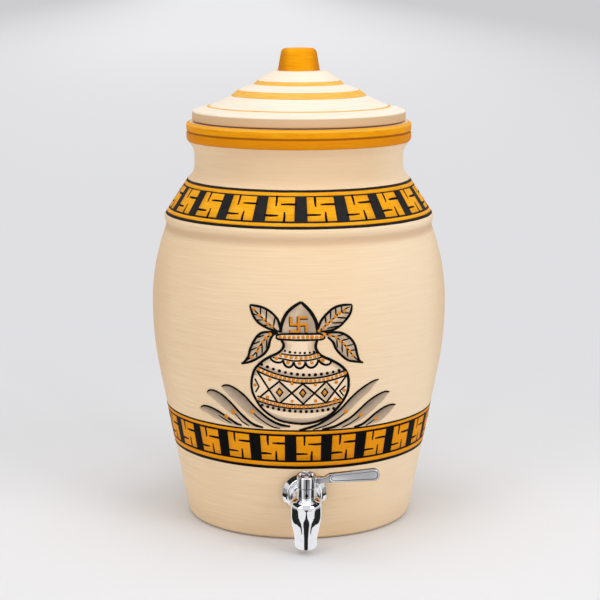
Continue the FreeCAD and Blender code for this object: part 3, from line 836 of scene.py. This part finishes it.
def tapTopPaint(name, s):
    # chrome of the lever and the bonnet, with painted reflections on the bonnet's front and the lever's arm,
    # and painted shade in the joint, along the sunk panel's border and round the paddle's rim
    paint = Paint(name)
    (py, pz), (ay, az) = s["point"], s["direction"]
    up = paint.y * ay + paint.z * az - (py * ay + pz * az)
    out = paint.z * ay - paint.y * az - (pz * ay - py * az)
    smudge = paint.noise(paint.place, scale=metalSettings["scale"], detail=metalSettings["detail"])
    tone = paint.layer(smudge, metalSettings["smudge"], s["chrome"], s["smudged"])
    # painted reflection: a dark stripe down the bonnet's front, with a darker bud in it
    front = out.contrast(*s["front"])
    stripe = abs(paint.x).contrast(*s["stripeSide"]) * front * up.contrast(*s["stripeTop"])
    tone = paint.mix(stripe * s["stripeShare"], tone, s["reflectedGrey"])
    reflectedBud = (abs(paint.x) + abs(up - s["reflectedBud"]) * 0.5).contrast(*s["budEdge"]) * front
    tone = paint.mix(reflectedBud, tone, s["dark"])
    # painted shade along the sunk panel's border and round the paddle's rim
    depth = paddleDepth(paint, up, s)
    paddle = paint.x.contrast(*s["paddleRoot"])
    border = abs(depth - s["panelLine"]).contrast(*s["panelLineEdge"]) * paddle
    tone = paint.mix(border * s["panelLineShare"], tone, s["edgeShadeGrey"])
    tone = paint.mix(depth.contrast(*s["rimEdge"]) * paddle * s["rimShare"], tone, s["edgeShadeGrey"])
    # painted reflection: the lever's arm is greyer
    arm = paint.x.contrast(*s["armRoot"]) * paint.x.contrast(*s["armEnd"])
    tone = paint.mix(arm * s["armShare"], tone, s["reflectedGrey"])
    # painted shade in the joint between the collar and the bonnet
    tone = paint.layer(abs(up - s["joint"]), s["jointEdge"], tone, s["dark"])
    rough = s["rough"] + smudge * s["rough"] * s["roughDrift"]
    return paint.finish(paint.surface(colour=tone, metal=1.0, rough=rough))


finishes = {
    "potClay": clayPaint("potClay", claySettings),
    "lidClay": clayPaint("lidClay", lidClaySettings),
    "bandGold": goldPaint("bandGold", goldSettings),
    "lowGold": goldPaint("lowGold", lowGoldSettings),
    "rimGold": goldPaint("rimGold", rimGoldSettings),
    "lidGold": goldPaint("lidGold", lidGoldSettings),
    "knobGold": goldPaint("knobGold", knobGoldSettings),
    "softBlack": handPaint("softBlack", (40, 38, 38), (26, 25, 25), 0.6, specular=0.06),
    "blackPaint": handPaint("blackPaint", (9, 8, 8), (18, 17, 16), 0.6, specular=0.06),
    "greyWash": washPaint("greyWash", washSettings),
    "ivoryPaint": handPaint("ivoryPaint", (246, 220, 190), (236, 206, 172), 0.62, scale=120.0),
    "orangePaint": handPaint("orangePaint", (228, 146, 40), (202, 116, 18), 0.5, specular=0.1,
                             share=0.8, scale=420.0),
    "chrome": metalPaint("chrome", (232, 232, 235), (222, 222, 226), 0.05),
    "tapTop": tapTopPaint("tapTop", tapTopSettings),
    "stainless": metalPaint("stainless", (176, 176, 178), (150, 150, 152), 0.28, scale=600.0, relief=0.02),
    "bareBrass": metalPaint("bareBrass", (196, 158, 84), (170, 130, 66), 0.3, scale=500.0, relief=0.02),
    "sealRubber": handPaint("sealRubber", (24, 24, 24), (38, 38, 38), 0.85, scale=400.0),
    "whitePlastic": handPaint("whitePlastic", (236, 236, 230), (224, 224, 216), 0.45, specular=0.4,
                              scale=400.0),
}

nodeFinishes = {
    "potClay": ["pot_body"],
    "lidClay": ["lid"],
    "chrome": ["tap_body", "tap_escutcheon"],
    "tapTop": ["bonnet", "lever"],
    "stainless": ["lever_screw", "lock_washer", "stop_pin", "clamp_washer"],
    "bareBrass": ["back_nut", "valve_plug"],
    "sealRubber": ["front_seal", "rear_seal", "stem_o_ring"],
    "whitePlastic": ["plug_sleeve", "thrust_washer"],
}


def dressNodes():
    for finish, names in nodeFinishes.items():
        for name in names:
            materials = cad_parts[name].data.materials
            materials.clear()
            materials.append(finishes[finish])


dressNodes()
print("stage: finishes on the parts")


# Painted rings

def ringStrip(bm, low, high, lift, reference, rows, seed, columns=drawSettings["ringColumns"],
              shake=drawSettings["ringShake"]):
    # a painted ring from low to high along the outline, with a hand's unsteady edges
    d, whole = drawSettings, 2 * math.pi * reference
    scale, apart, edgeShare = d["ringShakeScale"], d["ringShakeApart"], d["edgeShare"]
    made = bmesh.ops.create_grid(bm, x_segments=columns, y_segments=rows, size=0.5)
    for vert in made["verts"]:
        share = vert.co.y + 0.5
        around = 2 * math.pi * (vert.co.x + 0.5)
        shaken = (math.cos(around) * scale, math.sin(around) * scale, seed + apart * round(share))
        wander = noise.noise(Vector(shaken))
        edge = shake * wander if share < edgeShare or share > 1 - edgeShare else 0.0
        vert.co = ((vert.co.x + 0.5) * whole, low + (high - low) * share + edge, lift)


bandSettings = {
    "groundLift": 0.14,
    "goldLift": 0.24,
    "cutLift": 0.32,
    "groundRows": 8,
    "railRows": 2,
    "seedStep": 20,
    # how far a square's corners stray to the side, in millimetres, and the share of it up or down
    "sideShake": 0.35,
    "upShake": 0.5,
    # the four cuts of the sign, in a square of side 1: where each starts on the edge and where it ends
    "cuts": [((0.31, 1.05), (0.31, 0.61)), ((1.05, 0.69), (0.48, 0.69)),
             ((0.63, -0.05), (0.63, 0.38)), ((-0.05, 0.25), (0.44, 0.25))],
    "cutShift": 0.02,
    "cutBend": 0.015,
    "cutSpread": (0.88, 1.15),
    "cutTips": (1.0, 0.6),
}
upperBand = {
    "name": "upperBand", "gold": "bandGold", "ground": "softBlack", "seed": 3,
    "foot": 275.0, "reference": 110.0, "turn": 7.6, "count": 20, "blockShare": 0.69, "cutWidth": 1.9,
    "levels": [0.0, 2.6, 5.6, 7.4, 29.8, 31.0, 34.2, 36.6],
}
lowerBand = {
    "name": "lowerBand", "gold": "lowGold", "ground": "blackPaint", "seed": 11,
    "foot": 67.1, "reference": 117.0, "turn": 1.7, "count": 24, "blockShare": 0.67, "cutWidth": 1.9,
    "levels": [0.0, 2.8, 6.4, 8.3, 30.8, 32.7, 35.3, 36.8],
}


def paintBand(band, s):
    # black ground, a gold rail above and below, and gold squares cut by black strokes
    dice, seed, seedStep = random.Random(band["seed"]), band["seed"], s["seedStep"]
    base, reference = potSkin.reach(band["foot"]), band["reference"]
    pitch = 2 * math.pi * reference / band["count"]
    foot, railLow, railHigh, signFoot, signTop, topRailLow, topRailHigh, top = band["levels"]
    ground, gold, cuts = bmesh.new(), bmesh.new(), bmesh.new()
    ringStrip(ground, foot, top, s["groundLift"], reference, s["groundRows"], seed)
    ringStrip(gold, railLow, railHigh, s["goldLift"], reference, s["railRows"], seed + seedStep)
    ringStrip(gold, topRailLow, topRailHigh, s["goldLift"], reference, s["railRows"], seed + 2 * seedStep)
    width, height = pitch * band["blockShare"], signTop - signFoot
    shift, bend = s["cutShift"], s["cutBend"]
    for k in range(band["count"]):
        left = k * pitch - width / 2
        corners = [(left + width * x + dice.uniform(-1, 1) * s["sideShake"],
                    signFoot + height * y + dice.uniform(-1, 1) * s["sideShake"] * s["upShake"])
                   for x, y in ((0, 0), (1, 0), (1, 1), (0, 1))]
        paintPatch(gold, corners, s["goldLift"])
        for start, end in s["cuts"]:
            moved, bent = dice.uniform(-shift, shift), dice.uniform(-bend, bend)
            points = [start, ((start[0] + end[0]) / 2 + bent, (start[1] + end[1]) / 2 + bent), end]
            points = [(left + width * (x + moved), signFoot + height * (y + moved)) for x, y in points]
            thick = band["cutWidth"] * dice.uniform(*s["cutSpread"])
            brushStroke(cuts, points, (thick, thick), s["cutLift"], s["cutTips"])
    place = (base, reference, band["turn"])
    layOn(ground, potSkin, band["name"] + "Ground", band["ground"], "pot", "black_paint", *place)
    layOn(gold, potSkin, band["name"] + "Gold", band["gold"], "pot", "gold_paint", *place)
    layOn(cuts, potSkin, band["name"] + "Cuts", "blackPaint", "pot", "black_paint", *place)


paintBand(upperBand, bandSettings)
paintBand(lowerBand, bandSettings)
print("stage: painted bands")


ringSettings = {
    "lift": 0.12,
    # heights and radii between which the brush went, the outline's reference radius, rows and columns
    "rimFoot": 339.2,
    "rimTop": 97.6,                # radius at which the rim's gold ends on its flat top
    "rimEdge": 354.0,              # a height a little under that top
    "rimGrid": (100.0, 30, 240),
    "rimSeed": 70,
    "rings": [("lidLineOuter", 81.7, 79.4), ("lidBandMiddle", 60.0, 53.7), ("lidLineInner", 40.4, 36.7)],
    "ringGrid": (8, 180),
    "ringSeed": 80,
    "shake": 0.2,
    "knobFoot": 18.9,
    "knobGrid": (18.0, 40, 72),
    "knobSeed": 90,
    "knobShake": 0.1,
}


def paintRing(name, skin, finish, body, span, grid, seed, shake):
    (start, end), (reference, rows, columns) = span, grid
    bm = bmesh.new()
    ringStrip(bm, 0.0, end - start, ringSettings["lift"], reference, rows, seed, columns, shake)
    layOn(bm, skin, name, finish, body, "gold_paint", start, reference)


def paintRings(s):
    span = (potSkin.reach(s["rimFoot"]), potSkin.reachIn(s["rimTop"], s["rimEdge"]))
    paintRing("rimGold", potSkin, "rimGold", "pot", span, s["rimGrid"], s["rimSeed"], s["shake"])
    for index, (name, outer, inner) in enumerate(s["rings"]):
        span, grid = (lidSkin.reachIn(outer), lidSkin.reachIn(inner)), (outer, *s["ringGrid"])
        paintRing(name, lidSkin, "lidGold", "lid", span, grid, s["ringSeed"] + index, s["shake"])
    span = (lidSkin.reachIn(s["knobFoot"]), lidSkin.marks[-1])
    paintRing("knobGold", lidSkin, "knobGold", "lid", span, s["knobGrid"], s["knobSeed"], s["knobShake"])


paintRings(ringSettings)
print("stage: painted rim and lid")


# The picture on the front: a water vessel with a coconut and leaves, a common sign of plenty

pictureSettings = {
    "turn": -1.6,                  # degrees round the pot from the tap
    "foot": 102.8,                 # height of the lower band's top edge
    "reference": 126.7,
    "washLift": 0.14,
    "nearLift": 0.20,              # a wash that lies over another
    "lineLift": 0.28,
    "dotLift": 0.34,
    "widen": 1.25,                 # how much wider than drawn the black lines come out
    "seed": 5,
    "dotStray": 0.2,
    "blackSpread": (0.88, 1.12),
    "orangeSpread": (0.92, 1.15),
    "brushes": {
        # width at the start, width at the end, and the shares of them that the two tips keep
        "vesselLeft": (1.7, 1.8, 0.9, 0.9),
        "vesselRight": (2.0, 1.9, 0.9, 0.9),
        "band": (1.2, 1.2, 0.9, 0.9),
        "rim": (1.35, 1.35, 1.0, 1.0),
        "scallop": (1.6, 1.6, 0.9, 0.9),
        "collar": (1.1, 1.1, 0.8, 0.8),
        "huskLeft": (2.1, 2.1, 0.8, 0.9),
        "huskRight": (2.3, 2.3, 0.8, 0.9),
        "leaf": (1.65, 1.65, 0.8, 0.7),
        "rib": (1.0, 1.0, 0.5, 0.5),
        "vein": (1.05, 1.05, 0.8, 0.6),
        "blade": (1.2, 2.0, 0.6, 0.6),
        "stem": (0.8, 1.1, 0.8, 0.5),
    },
    "dots": {
        "row": 1.4, "bead": 1.4, "diamond": 1.55, "lattice": 1.45, "rim": 1.5, "neck": 1.1,
        "collar": 1.3, "scallop": 1.55, "leaf": 1.42, "blade": 1.9,
    },
}


class Picture:
    def __init__(self, s):
        self.s = s
        self.dice = random.Random(s["seed"])
        self.ivory, self.wash, self.lines, self.dots = bmesh.new(), bmesh.new(), bmesh.new(), bmesh.new()

    def stroke(self, points, brush):
        first, last, *tips = self.s["brushes"][brush]
        widths = (first * self.s["widen"], last * self.s["widen"])
        brushStroke(self.lines, points, widths, self.s["lineLift"], tips)

    def corners(self, points, width):
        brushCorners(self.lines, points, width * self.s["widen"], self.s["lineLift"])

    def shaded(self, first, second, shade, near=False):
        washBetween(self.wash, first, second, shade, self.s["nearLift" if near else "washLift"])

    def pale(self, first, second, near=False):
        washBetween(self.ivory, first, second, lambda t, v: 0.0, self.s["nearLift" if near else "washLift"])

    def blackDots(self, places, kind):
        for x, y in places:
            radius = self.s["dots"][kind] * self.dice.uniform(*self.s["blackSpread"])
            paintDot(self.lines, x, y, radius, self.s["lineLift"])

    def orangeDots(self, places, kind):
        for x, y in places:
            y += self.dice.uniform(-self.s["dotStray"], self.s["dotStray"])
            radius = self.s["dots"][kind] * self.dice.uniform(*self.s["orangeSpread"])
            paintDot(self.dots, x, y, radius, self.s["dotLift"])

    def finish(self):
        place = (potSkin.reach(self.s["foot"]), self.s["reference"], self.s["turn"])
        layOn(self.ivory, potSkin, "pictureIvory", "ivoryPaint", "pot", "ivory_paint", *place)
        layOn(self.wash, potSkin, "pictureWash", "greyWash", "pot", "grey_paint", *place)
        layOn(self.lines, potSkin, "pictureLines", "blackPaint", "pot", "black_paint", *place)
        layOn(self.dots, potSkin, "pictureDots", "orangePaint", "pot", "orange_paint", *place)


def sagging(middle, slope, rise):
    # a line across the vessel, lowest near its middle
    return lambda x: middle + slope * x + rise * x * x


def pointsOn(curve, low, high, count):
    return [(x, curve(x)) for x in spread(low, high, count)]


vesselSettings = {
    "left": [(-0.5, 6.5), (-9.5, 7.5), (-19, 9.5), (-27, 14), (-33.5, 19.5), (-38.5, 27),
             (-41.5, 34.5), (-42, 42), (-40.5, 50), (-38, 56), (-32, 62.5), (-25.5, 67), (-19.5, 70),
             (-16, 73), (-14, 76.5), (-14.5, 79.5), (-16, 81.5)],
    "right": [(-0.5, 6.5), (8, 7), (17, 9.5), (25.5, 14), (32, 20.5), (37, 27.5), (40, 34.5),
              (40.5, 41.5), (39.5, 49), (36, 55.5), (30.5, 60.5), (23.5, 64.5), (18.5, 67), (14.5, 70),
              (12, 74.5), (12, 78.5), (13, 81.5)],
    "shadeOuter": [(-38.5, 26.5), (-33.5, 19.5), (-27, 14), (-19, 9.5), (-9.5, 7.5), (-0.5, 6.5),
                   (8, 7), (17, 9.5), (25.5, 14), (34, 22.5)],
    "shadeInner": [(-38, 27), (-32.5, 21.5), (-26.5, 17), (-18, 14), (-9.5, 12), (-0.5, 11.5),
                   (8, 11.8), (16, 13.5), (25, 17), (33.5, 23.5)],
    "bands": [
        # the two beaded bands: upper line, lower line, from, to
        (sagging(48.4, -0.0612, 0.0059), sagging(44.1, -0.0647, 0.00566), -36.5, 38.2),
        (sagging(24.0, -0.0224, 0.00448), sagging(20.6, 0.0, 0.00442), -37.5, 35.5),
    ],
    "samples": 9,
    "beads": 21,
    "beadMargin": 1.5,
    "shoulderFrom": 8,             # index of the point at which the shoulder starts
    "shoulderShade": (6.5, 0.62),  # width and darkness of the grey along it
    "rowReach": 1.6,               # how far the grey beside a band reaches past its row of black dots
    "blackRows": [
        (sagging(51.7, -0.08, 0.0054), -32.5, 31.5, 14),
        (sagging(18.0, -0.03, 0.0035), -33.5, 28.5, 14),
    ],
    "lattice": [((-36.5, 54), (-20.5, 27)), ((-35, 30.5), (-18, 45.5)), ((-18, 45.5), (2, 25)),
                ((-17.5, 26), (1.5, 43.5)), ((1.5, 43.5), (21.5, 25.5)), ((2, 25), (21, 45)),
                ((21, 45), (35.5, 28)), ((21.5, 25.5), (37.5, 48.5))],
    "diamonds": [(-18, 35.5), (1.5, 35), (20, 35)],
    "diamondHalf": (2.7, 3.7),
    "facetHalf": (8.2, 9),
    "facetShades": (0.12, 0.34, 0.30, 0.16),
    "diamondWidth": 1.1,
    "halfDiamonds": [[(-38.5, 46.5), (-35.5, 40), (-38.5, 35)], [(37.5, 40), (33, 36), (36.5, 31.5)]],
    "latticeWidth": 1.35,
    "latticeDots": [(-38.9, 41), (36.8, 36.2), (-26, 46.8), (-7.5, 43.5), (12, 42.4), (29.5, 44),
                    (-28.5, 30.5), (-7.5, 27.7), (12.5, 27.7), (29.5, 28.8)],
}


def footShade(t, v):
    # darkest in the middle of the foot and along its edge
    return (0.75 - 0.5 * v) * math.sin(math.pi * t) ** 0.5


def rowShade(t, v):
    return 0.42 - 0.3 * v * v


def diamond(x, y, half):
    across, up = half
    return [(x, y + up), (x + across, y), (x, y - up), (x - across, y)]


def drawVessel(picture, s):
    # the turned body is pale, a little grey along the sides of its shoulder and neck
    picture.pale(s["left"], s["right"])
    width, darkness = s["shoulderShade"]
    for line in (s["left"][s["shoulderFrom"]:], s["right"][s["shoulderFrom"]:]):
        inside = [(x - math.copysign(width, x), y) for x, y in line]
        picture.shaded(line, inside, lambda t, v: darkness * (1 - v), near=True)
    picture.shaded(s["shadeOuter"], s["shadeInner"], footShade, near=True)
    picture.stroke(s["left"], "vesselLeft")
    picture.stroke(s["right"], "vesselRight")


def drawVesselBands(picture, s):
    samples = s["samples"]
    for upper, lower, low, high in s["bands"]:
        edges = [pointsOn(edge, low, high, samples) for edge in (upper, lower)]
        picture.pale(*edges, near=True)
        for edge in edges:
            picture.stroke(edge, "band")
        beads = spread(low + s["beadMargin"], high - s["beadMargin"], s["beads"])
        picture.orangeDots([(x, (upper(x) + lower(x)) / 2) for x in beads], "bead")
    for (row, low, high, count), (upper, lower, left, right) in zip(s["blackRows"], s["bands"]):
        above = row(0) > upper(0)
        beyond = s["rowReach"] if above else -s["rowReach"]
        near = pointsOn(upper if above else lower, left + 1, right - 1, samples)
        far = [(x, y + beyond) for x, y in pointsOn(row, left + 1, right - 1, samples)]
        picture.shaded(near, far, rowShade, near=True)
        picture.blackDots(pointsOn(row, low, high, count), "row")


def drawLattice(picture, s):
    for line in s["lattice"]:
        picture.corners(line, s["latticeWidth"])
    for x, y in s["diamonds"]:
        ring, outer = diamond(x, y, s["diamondHalf"]), diamond(x, y, s["facetHalf"])
        for k, tone in enumerate(s["facetShades"]):
            picture.shaded([outer[k - 1], outer[k]], [(x, y), (x, y)], lambda t, v: tone, near=True)
        picture.corners(ring + ring[:1], s["diamondWidth"])
    picture.orangeDots(s["diamonds"], "diamond")
    for line in s["halfDiamonds"]:
        picture.corners(line, s["diamondWidth"])
    picture.orangeDots(s["latticeDots"], "lattice")


neckSettings = {
    "rim": [(-18.5, 82.4), (-20.3, 84.5), (-17.5, 86.6), (-9, 87), (0, 87.1), (8, 87), (16, 86.8),
            (19.3, 84.5), (17, 82.2), (8, 81.9), (-1, 81.8), (-9, 82), (-18.5, 82.4)],
    "rimTop": [(-19.5, 84.5), (-17, 86.5), (-1, 87), (16, 86.5), (18.5, 84.5)],
    "rimFoot": [(-19.5, 84.5), (-17, 82.5), (-1, 82), (16, 82.2), (18.5, 84.5)],
    "rimDots": [(x, 84.4) for x in spread(-16.8, 16.2, 10)],
    "blackDots": [(-13, 72.5), (-9, 71.5), (-4.8, 71), (-0.8, 70.8), (3, 70.7), (7, 71), (10.4, 71.6)],
    "collarTop": [(-16, 70), (-9, 69), (-1, 68.5), (7, 69), (13, 71)],
    "collarFoot": [(-23, 66.5), (-14.5, 65.5), (-7.5, 64), (-1, 64), (7.5, 64.5), (15.5, 66.5), (19, 67.5)],
    "collarDots": [(-16.5, 68.6), (-12.2, 67.6), (-8, 66.9), (-4, 66.4), (0, 66.2), (4, 66.5),
                   (7.6, 66.9), (11, 67.8), (14, 68.8)],
    "scallops": [((-25, 66.5), (-19.5, 62.2), (-14.5, 65)), ((-14.5, 65), (-10.5, 58.2), (-6, 63.5)),
                 ((-6, 63.5), (-1, 57.2), (3.5, 63.5)), ((3.5, 63.5), (9, 57.8), (14, 65.5)),
                 ((14, 65.5), (20, 60), (24.5, 63.5))],
    "lobeSteps": 9,
    "scallopDots": [(-20, 65.8), (-10.5, 62.6), (-1.2, 61.6), (8.8, 62.2), (17.6, 64.2)],
}


def drawNeck(picture, s):
    picture.pale(s["rimTop"], s["rimFoot"], near=True)
    picture.stroke(s["rim"], "rim")
    picture.orangeDots(s["rimDots"], "rim")
    picture.blackDots(s["blackDots"], "neck")
    for start, low, end in s["scallops"]:
        middle, half = (Vector(start) + Vector(end)) / 2, (Vector(end) - Vector(start)) / 2
        drop = Vector(low) - middle
        lobe = [middle - half * math.cos(a) + drop * math.sin(a) for a in spread(0, math.pi, s["lobeSteps"])]
        picture.pale([start, end], lobe, near=True)
        picture.stroke(lobe, "scallop")
    picture.stroke(s["collarTop"], "collar")
    picture.stroke(s["collarFoot"], "collar")
    picture.orangeDots(s["collarDots"], "collar")
    picture.orangeDots(s["scallopDots"], "scallop")


coconutSettings = {
    "left": [(0, 114), (-5.5, 110.5), (-10.5, 106), (-14, 100), (-16, 93), (-16.5, 88)],
    "right": [(0, 114), (4.5, 109.5), (8.5, 104.5), (12, 97.5), (13, 92), (13.5, 87.5)],
    "signCentre": (-1.8, 95.2),
    "signHalf": (6.2, 5.9),
    "signWidths": (3.1, 2.2),      # of its black and of its orange
    "signShift": (0.3, 0.5),       # how far the black one lies to the left and down
    "signPaths": [[(-1, 1), (-1, 0), (1, 0), (1, -1)], [(1, 1), (0, 1), (0, -1), (-1, -1)]],
}


def huskShade(t, v):
    return 0.46 + 0.14 * math.cos(5 * v + 3 * t)


def drawCoconut(picture, s):
    picture.shaded(s["left"], s["right"], huskShade)
    picture.stroke(s["left"], "huskLeft")
    picture.stroke(s["right"], "huskRight")
    # the same sign as on the bands, orange over wider black
    (x, y), (across, up), (broad, narrow) = s["signCentre"], s["signHalf"], s["signWidths"]
    aside, down = s["signShift"]
    for path in s["signPaths"]:
        points = [(x + across * side, y + up * level) for side, level in path]
        below = [(px - aside, py - down) for px, py in points]
        brushCorners(picture.lines, below, broad, picture.s["lineLift"])
        brushCorners(picture.dots, points, narrow, picture.s["dotLift"])


leafSettings = [
    {
        "top": [(-42, 110.5), (-36.5, 110), (-30, 108.5), (-24, 105), (-19, 99.5), (-17, 93),
                (-16.5, 89.5)],
        "low": [(-42, 110), (-40.5, 105.5), (-38, 100), (-34, 95.5), (-28, 92), (-22.5, 90), (-17.5, 89)],
        "dots": [(-38.5, 107), (-34, 102), (-30, 99), (-27, 95.5), (-23.5, 93)],
        "rib": [(-39.5, 108), (-34, 102.5), (-29, 98), (-24.5, 94), (-19, 89.5)],
        "veins": [((-32.9, 109), (-32.9, 102.6)), ((-27.9, 107), (-28.2, 98)),
                  ((-20.8, 101.5), (-22.3, 93)), ((-39.3, 103.4), (-35.6, 102.2)),
                  ((-36.3, 98), (-31.3, 98.4)), ((-31.2, 93.8), (-26.8, 94))],
    },
    {
        "top": [(14, 92), (16, 98), (21, 104), (26.5, 108.5), (33.5, 110.5), (42, 110.5)],
        "low": [(14.5, 89), (19, 89), (25.5, 90), (31.5, 93), (36.5, 98), (40.5, 103.5), (42, 110)],
        "dots": [(14.5, 89.5), (18, 92), (21, 95.5), (24.5, 98), (27.5, 101), (31, 104), (35.5, 105.5)],
        "rib": [(14.5, 89.2), (21.5, 95.5), (28, 101.2), (34, 105.8), (40, 109)],
        "veins": [((19.4, 104), (20, 95)), ((23.8, 107), (23.8, 98.4)), ((28, 109.2), (28.3, 102)),
                  ((33, 110), (33, 105.6)), ((21, 91.4), (30.6, 93.2)), ((25, 95.9), (34.6, 95.9)),
                  ((29.4, 100.4), (38, 99.4)), ((33.4, 104.2), (40, 103.6))],
    },
    {
        "top": [(-20, 88), (-30, 88), (-35.5, 84.5), (-39.5, 78), (-42, 72), (-44, 65.5), (-48, 60.5),
                (-50, 59.5)],
        "low": [(-18.5, 88), (-22.5, 86), (-25, 81.5), (-26.5, 75), (-30, 69.5), (-36, 65),
                (-42.5, 61.5), (-50, 59.5)],
        "dots": [(-25, 86.5), (-28.5, 83), (-31, 79.5), (-34, 75), (-36, 71.5), (-41, 66)],
        "rib": [(-21, 88), (-28, 83.2), (-33.5, 76), (-38, 69), (-46, 61.8)],
        "veins": [((-38.8, 77.4), (-33.4, 80)), ((-40.8, 72), (-36, 74.6)), ((-35.4, 83.2), (-30, 85.6)),
                  ((-31.7, 77.5), (-31.7, 69.5)), ((-27.7, 82), (-28, 74)), ((-36.4, 71.2), (-36.3, 66))],
    },
    {
        "top": [(18.5, 87), (25.5, 88), (33, 87), (40, 82.5), (44.5, 76), (46.5, 68.5), (49, 62),
                (52.5, 59.5)],
        "low": [(21.5, 84), (26, 79.5), (28.5, 73.5), (33, 68), (39, 63), (45, 61.5), (52.5, 60)],
        "dots": [(19, 86.5), (23.5, 85.5), (28.5, 83.5), (32, 80), (35, 77.5), (37.5, 74), (40, 70.5),
                 (43, 67)],
        "rib": [(19, 86.6), (28.5, 83.4), (36, 76.2), (42.5, 67.6), (48.5, 61.5)],
        "veins": [((29.2, 84.4), (34.8, 85.6)), ((33.4, 80.4), (39.8, 82)), ((37.4, 75.4), (43.2, 76.6)),
                  ((40.4, 71.4), (45.4, 71.6)), ((29, 81.6), (29.6, 74.6)), ((33.4, 78.2), (33.8, 70)),
                  ((37.6, 73.6), (38.6, 65.8))],
    },
]


def leafShade(t, v):
    return 0.34 + 0.16 * math.sin(3 * math.pi * v) * math.sin(math.pi * t)


def drawLeaves(picture, leaves):
    for leaf in leaves:
        picture.shaded(leaf["top"], leaf["low"], leafShade)
        for edge in (leaf["top"], leaf["low"]):
            picture.stroke(edge, "leaf")
        picture.stroke(leaf["rib"], "rib")
        for vein in leaf["veins"]:
            picture.stroke(vein, "vein")
        picture.orangeDots(leaf["dots"], "leaf")


bladeSettings = [
    # a long bent leaf: its back, its paler belly, the stem drawn on it, and the dot
    {
        "back": [(-98, 13.5), (-93, 15.5), (-84.5, 15), (-76, 12), (-67, 7.5), (-59.5, 3.5), (-54.5, 2.5)],
        "belly": [(-101, 12), (-96.5, 9.5), (-91.5, 9), (-82, 5), (-68, 2), (-54.5, 1)],
        "stem": [(-77.5, 9), (-71.5, 6), (-64.5, 3)], "dot": (-69.5, 8.5),
    },
    {
        "back": [(-87.5, 29), (-84, 31.5), (-77.5, 31.5), (-70.5, 28.5), (-63, 22.5), (-56.5, 15.5),
                 (-49, 8.5), (-42, 4), (-34, 2)],
        "belly": [(-88.5, 27.5), (-82.5, 24.5), (-76, 20), (-66.5, 13.5), (-55, 6.5), (-44, 2), (-34, 1)],
        "stem": [(-61.5, 14), (-58.5, 11.5), (-53.5, 6), (-47, 2.5)], "dot": (-61.5, 14),
    },
    {
        "back": [(-70.5, 36.5), (-68, 38), (-63, 38.5), (-56.5, 36), (-49, 30.5), (-42.5, 23),
                 (-35.5, 16), (-27, 9.5), (-18.5, 5.5), (-9.5, 4)],
        "belly": [(-70.5, 36), (-66.5, 31), (-60, 25), (-53, 18.5), (-44.5, 11), (-34.5, 5), (-23, 2),
                  (-10, 2.5)],
        "stem": [(-43, 16), (-38, 11), (-31.5, 6.5), (-24.5, 3), (-18.5, 2)], "dot": (-43, 16),
    },
    {
        "back": [(92.5, 16), (86, 17), (78, 15.5), (70, 11.5), (63, 6.5), (56.5, 2.5), (49, 1)],
        "belly": [(91.5, 15), (87.5, 11), (81, 6), (76, 3), (65, 1.5), (49, 0.6)],
        "stem": [(71, 6.5), (68.5, 5), (61, 1)], "dot": (71, 6.5),
    },
    {
        "back": [(82.5, 29.5), (77, 30.5), (69.5, 28.5), (61, 24), (54, 18), (46, 11), (38, 6.5),
                 (29, 2.5), (19, 1)],
        "belly": [(81.5, 28.5), (77, 23), (70, 17.5), (63.5, 12.5), (54, 6.5), (40, 1.5), (20, 0.6)],
        "stem": [(54.5, 11.5), (52, 9), (44.5, 4.5), (37, 1.5)], "dot": (54.5, 11.5),
    },
    {
        "back": [(69, 43), (63.5, 42), (57, 39), (49.5, 34), (42.5, 27.5), (35, 19), (25.5, 11.5),
                 (15, 5.5), (4.5, 2), (-1.5, 0.5)],
        "belly": [(68.5, 42), (65.5, 39), (61, 33), (53.5, 27), (45, 18.5), (35, 10), (21.5, 3), (0, 0.6)],
        "stem": [(40, 16), (36.5, 13), (29.5, 8), (21.5, 4), (11, 1)], "dot": (40, 16),
    },
]


def bladeShade(t, v):
    # dark along the back, and darkest about a third of the way from the tip
    return (0.86 - 0.62 * v ** 1.4) * (0.75 + 0.25 * math.sin(math.pi * min(1.0, t * 1.6)))


def drawBlades(picture, blades):
    for blade in blades:
        picture.shaded(blade["back"], blade["belly"], bladeShade)
        picture.stroke(blade["back"], "blade")
        picture.stroke(blade["stem"], "stem")
        picture.orangeDots([blade["dot"]], "blade")


def paintPicture():
    picture = Picture(pictureSettings)
    drawBlades(picture, bladeSettings)
    drawLeaves(picture, leafSettings)
    drawVessel(picture, vesselSettings)
    drawVesselBands(picture, vesselSettings)
    drawLattice(picture, vesselSettings)
    drawNeck(picture, neckSettings)
    drawCoconut(picture, coconutSettings)
    picture.finish()


paintPicture()
print("stage: picture")
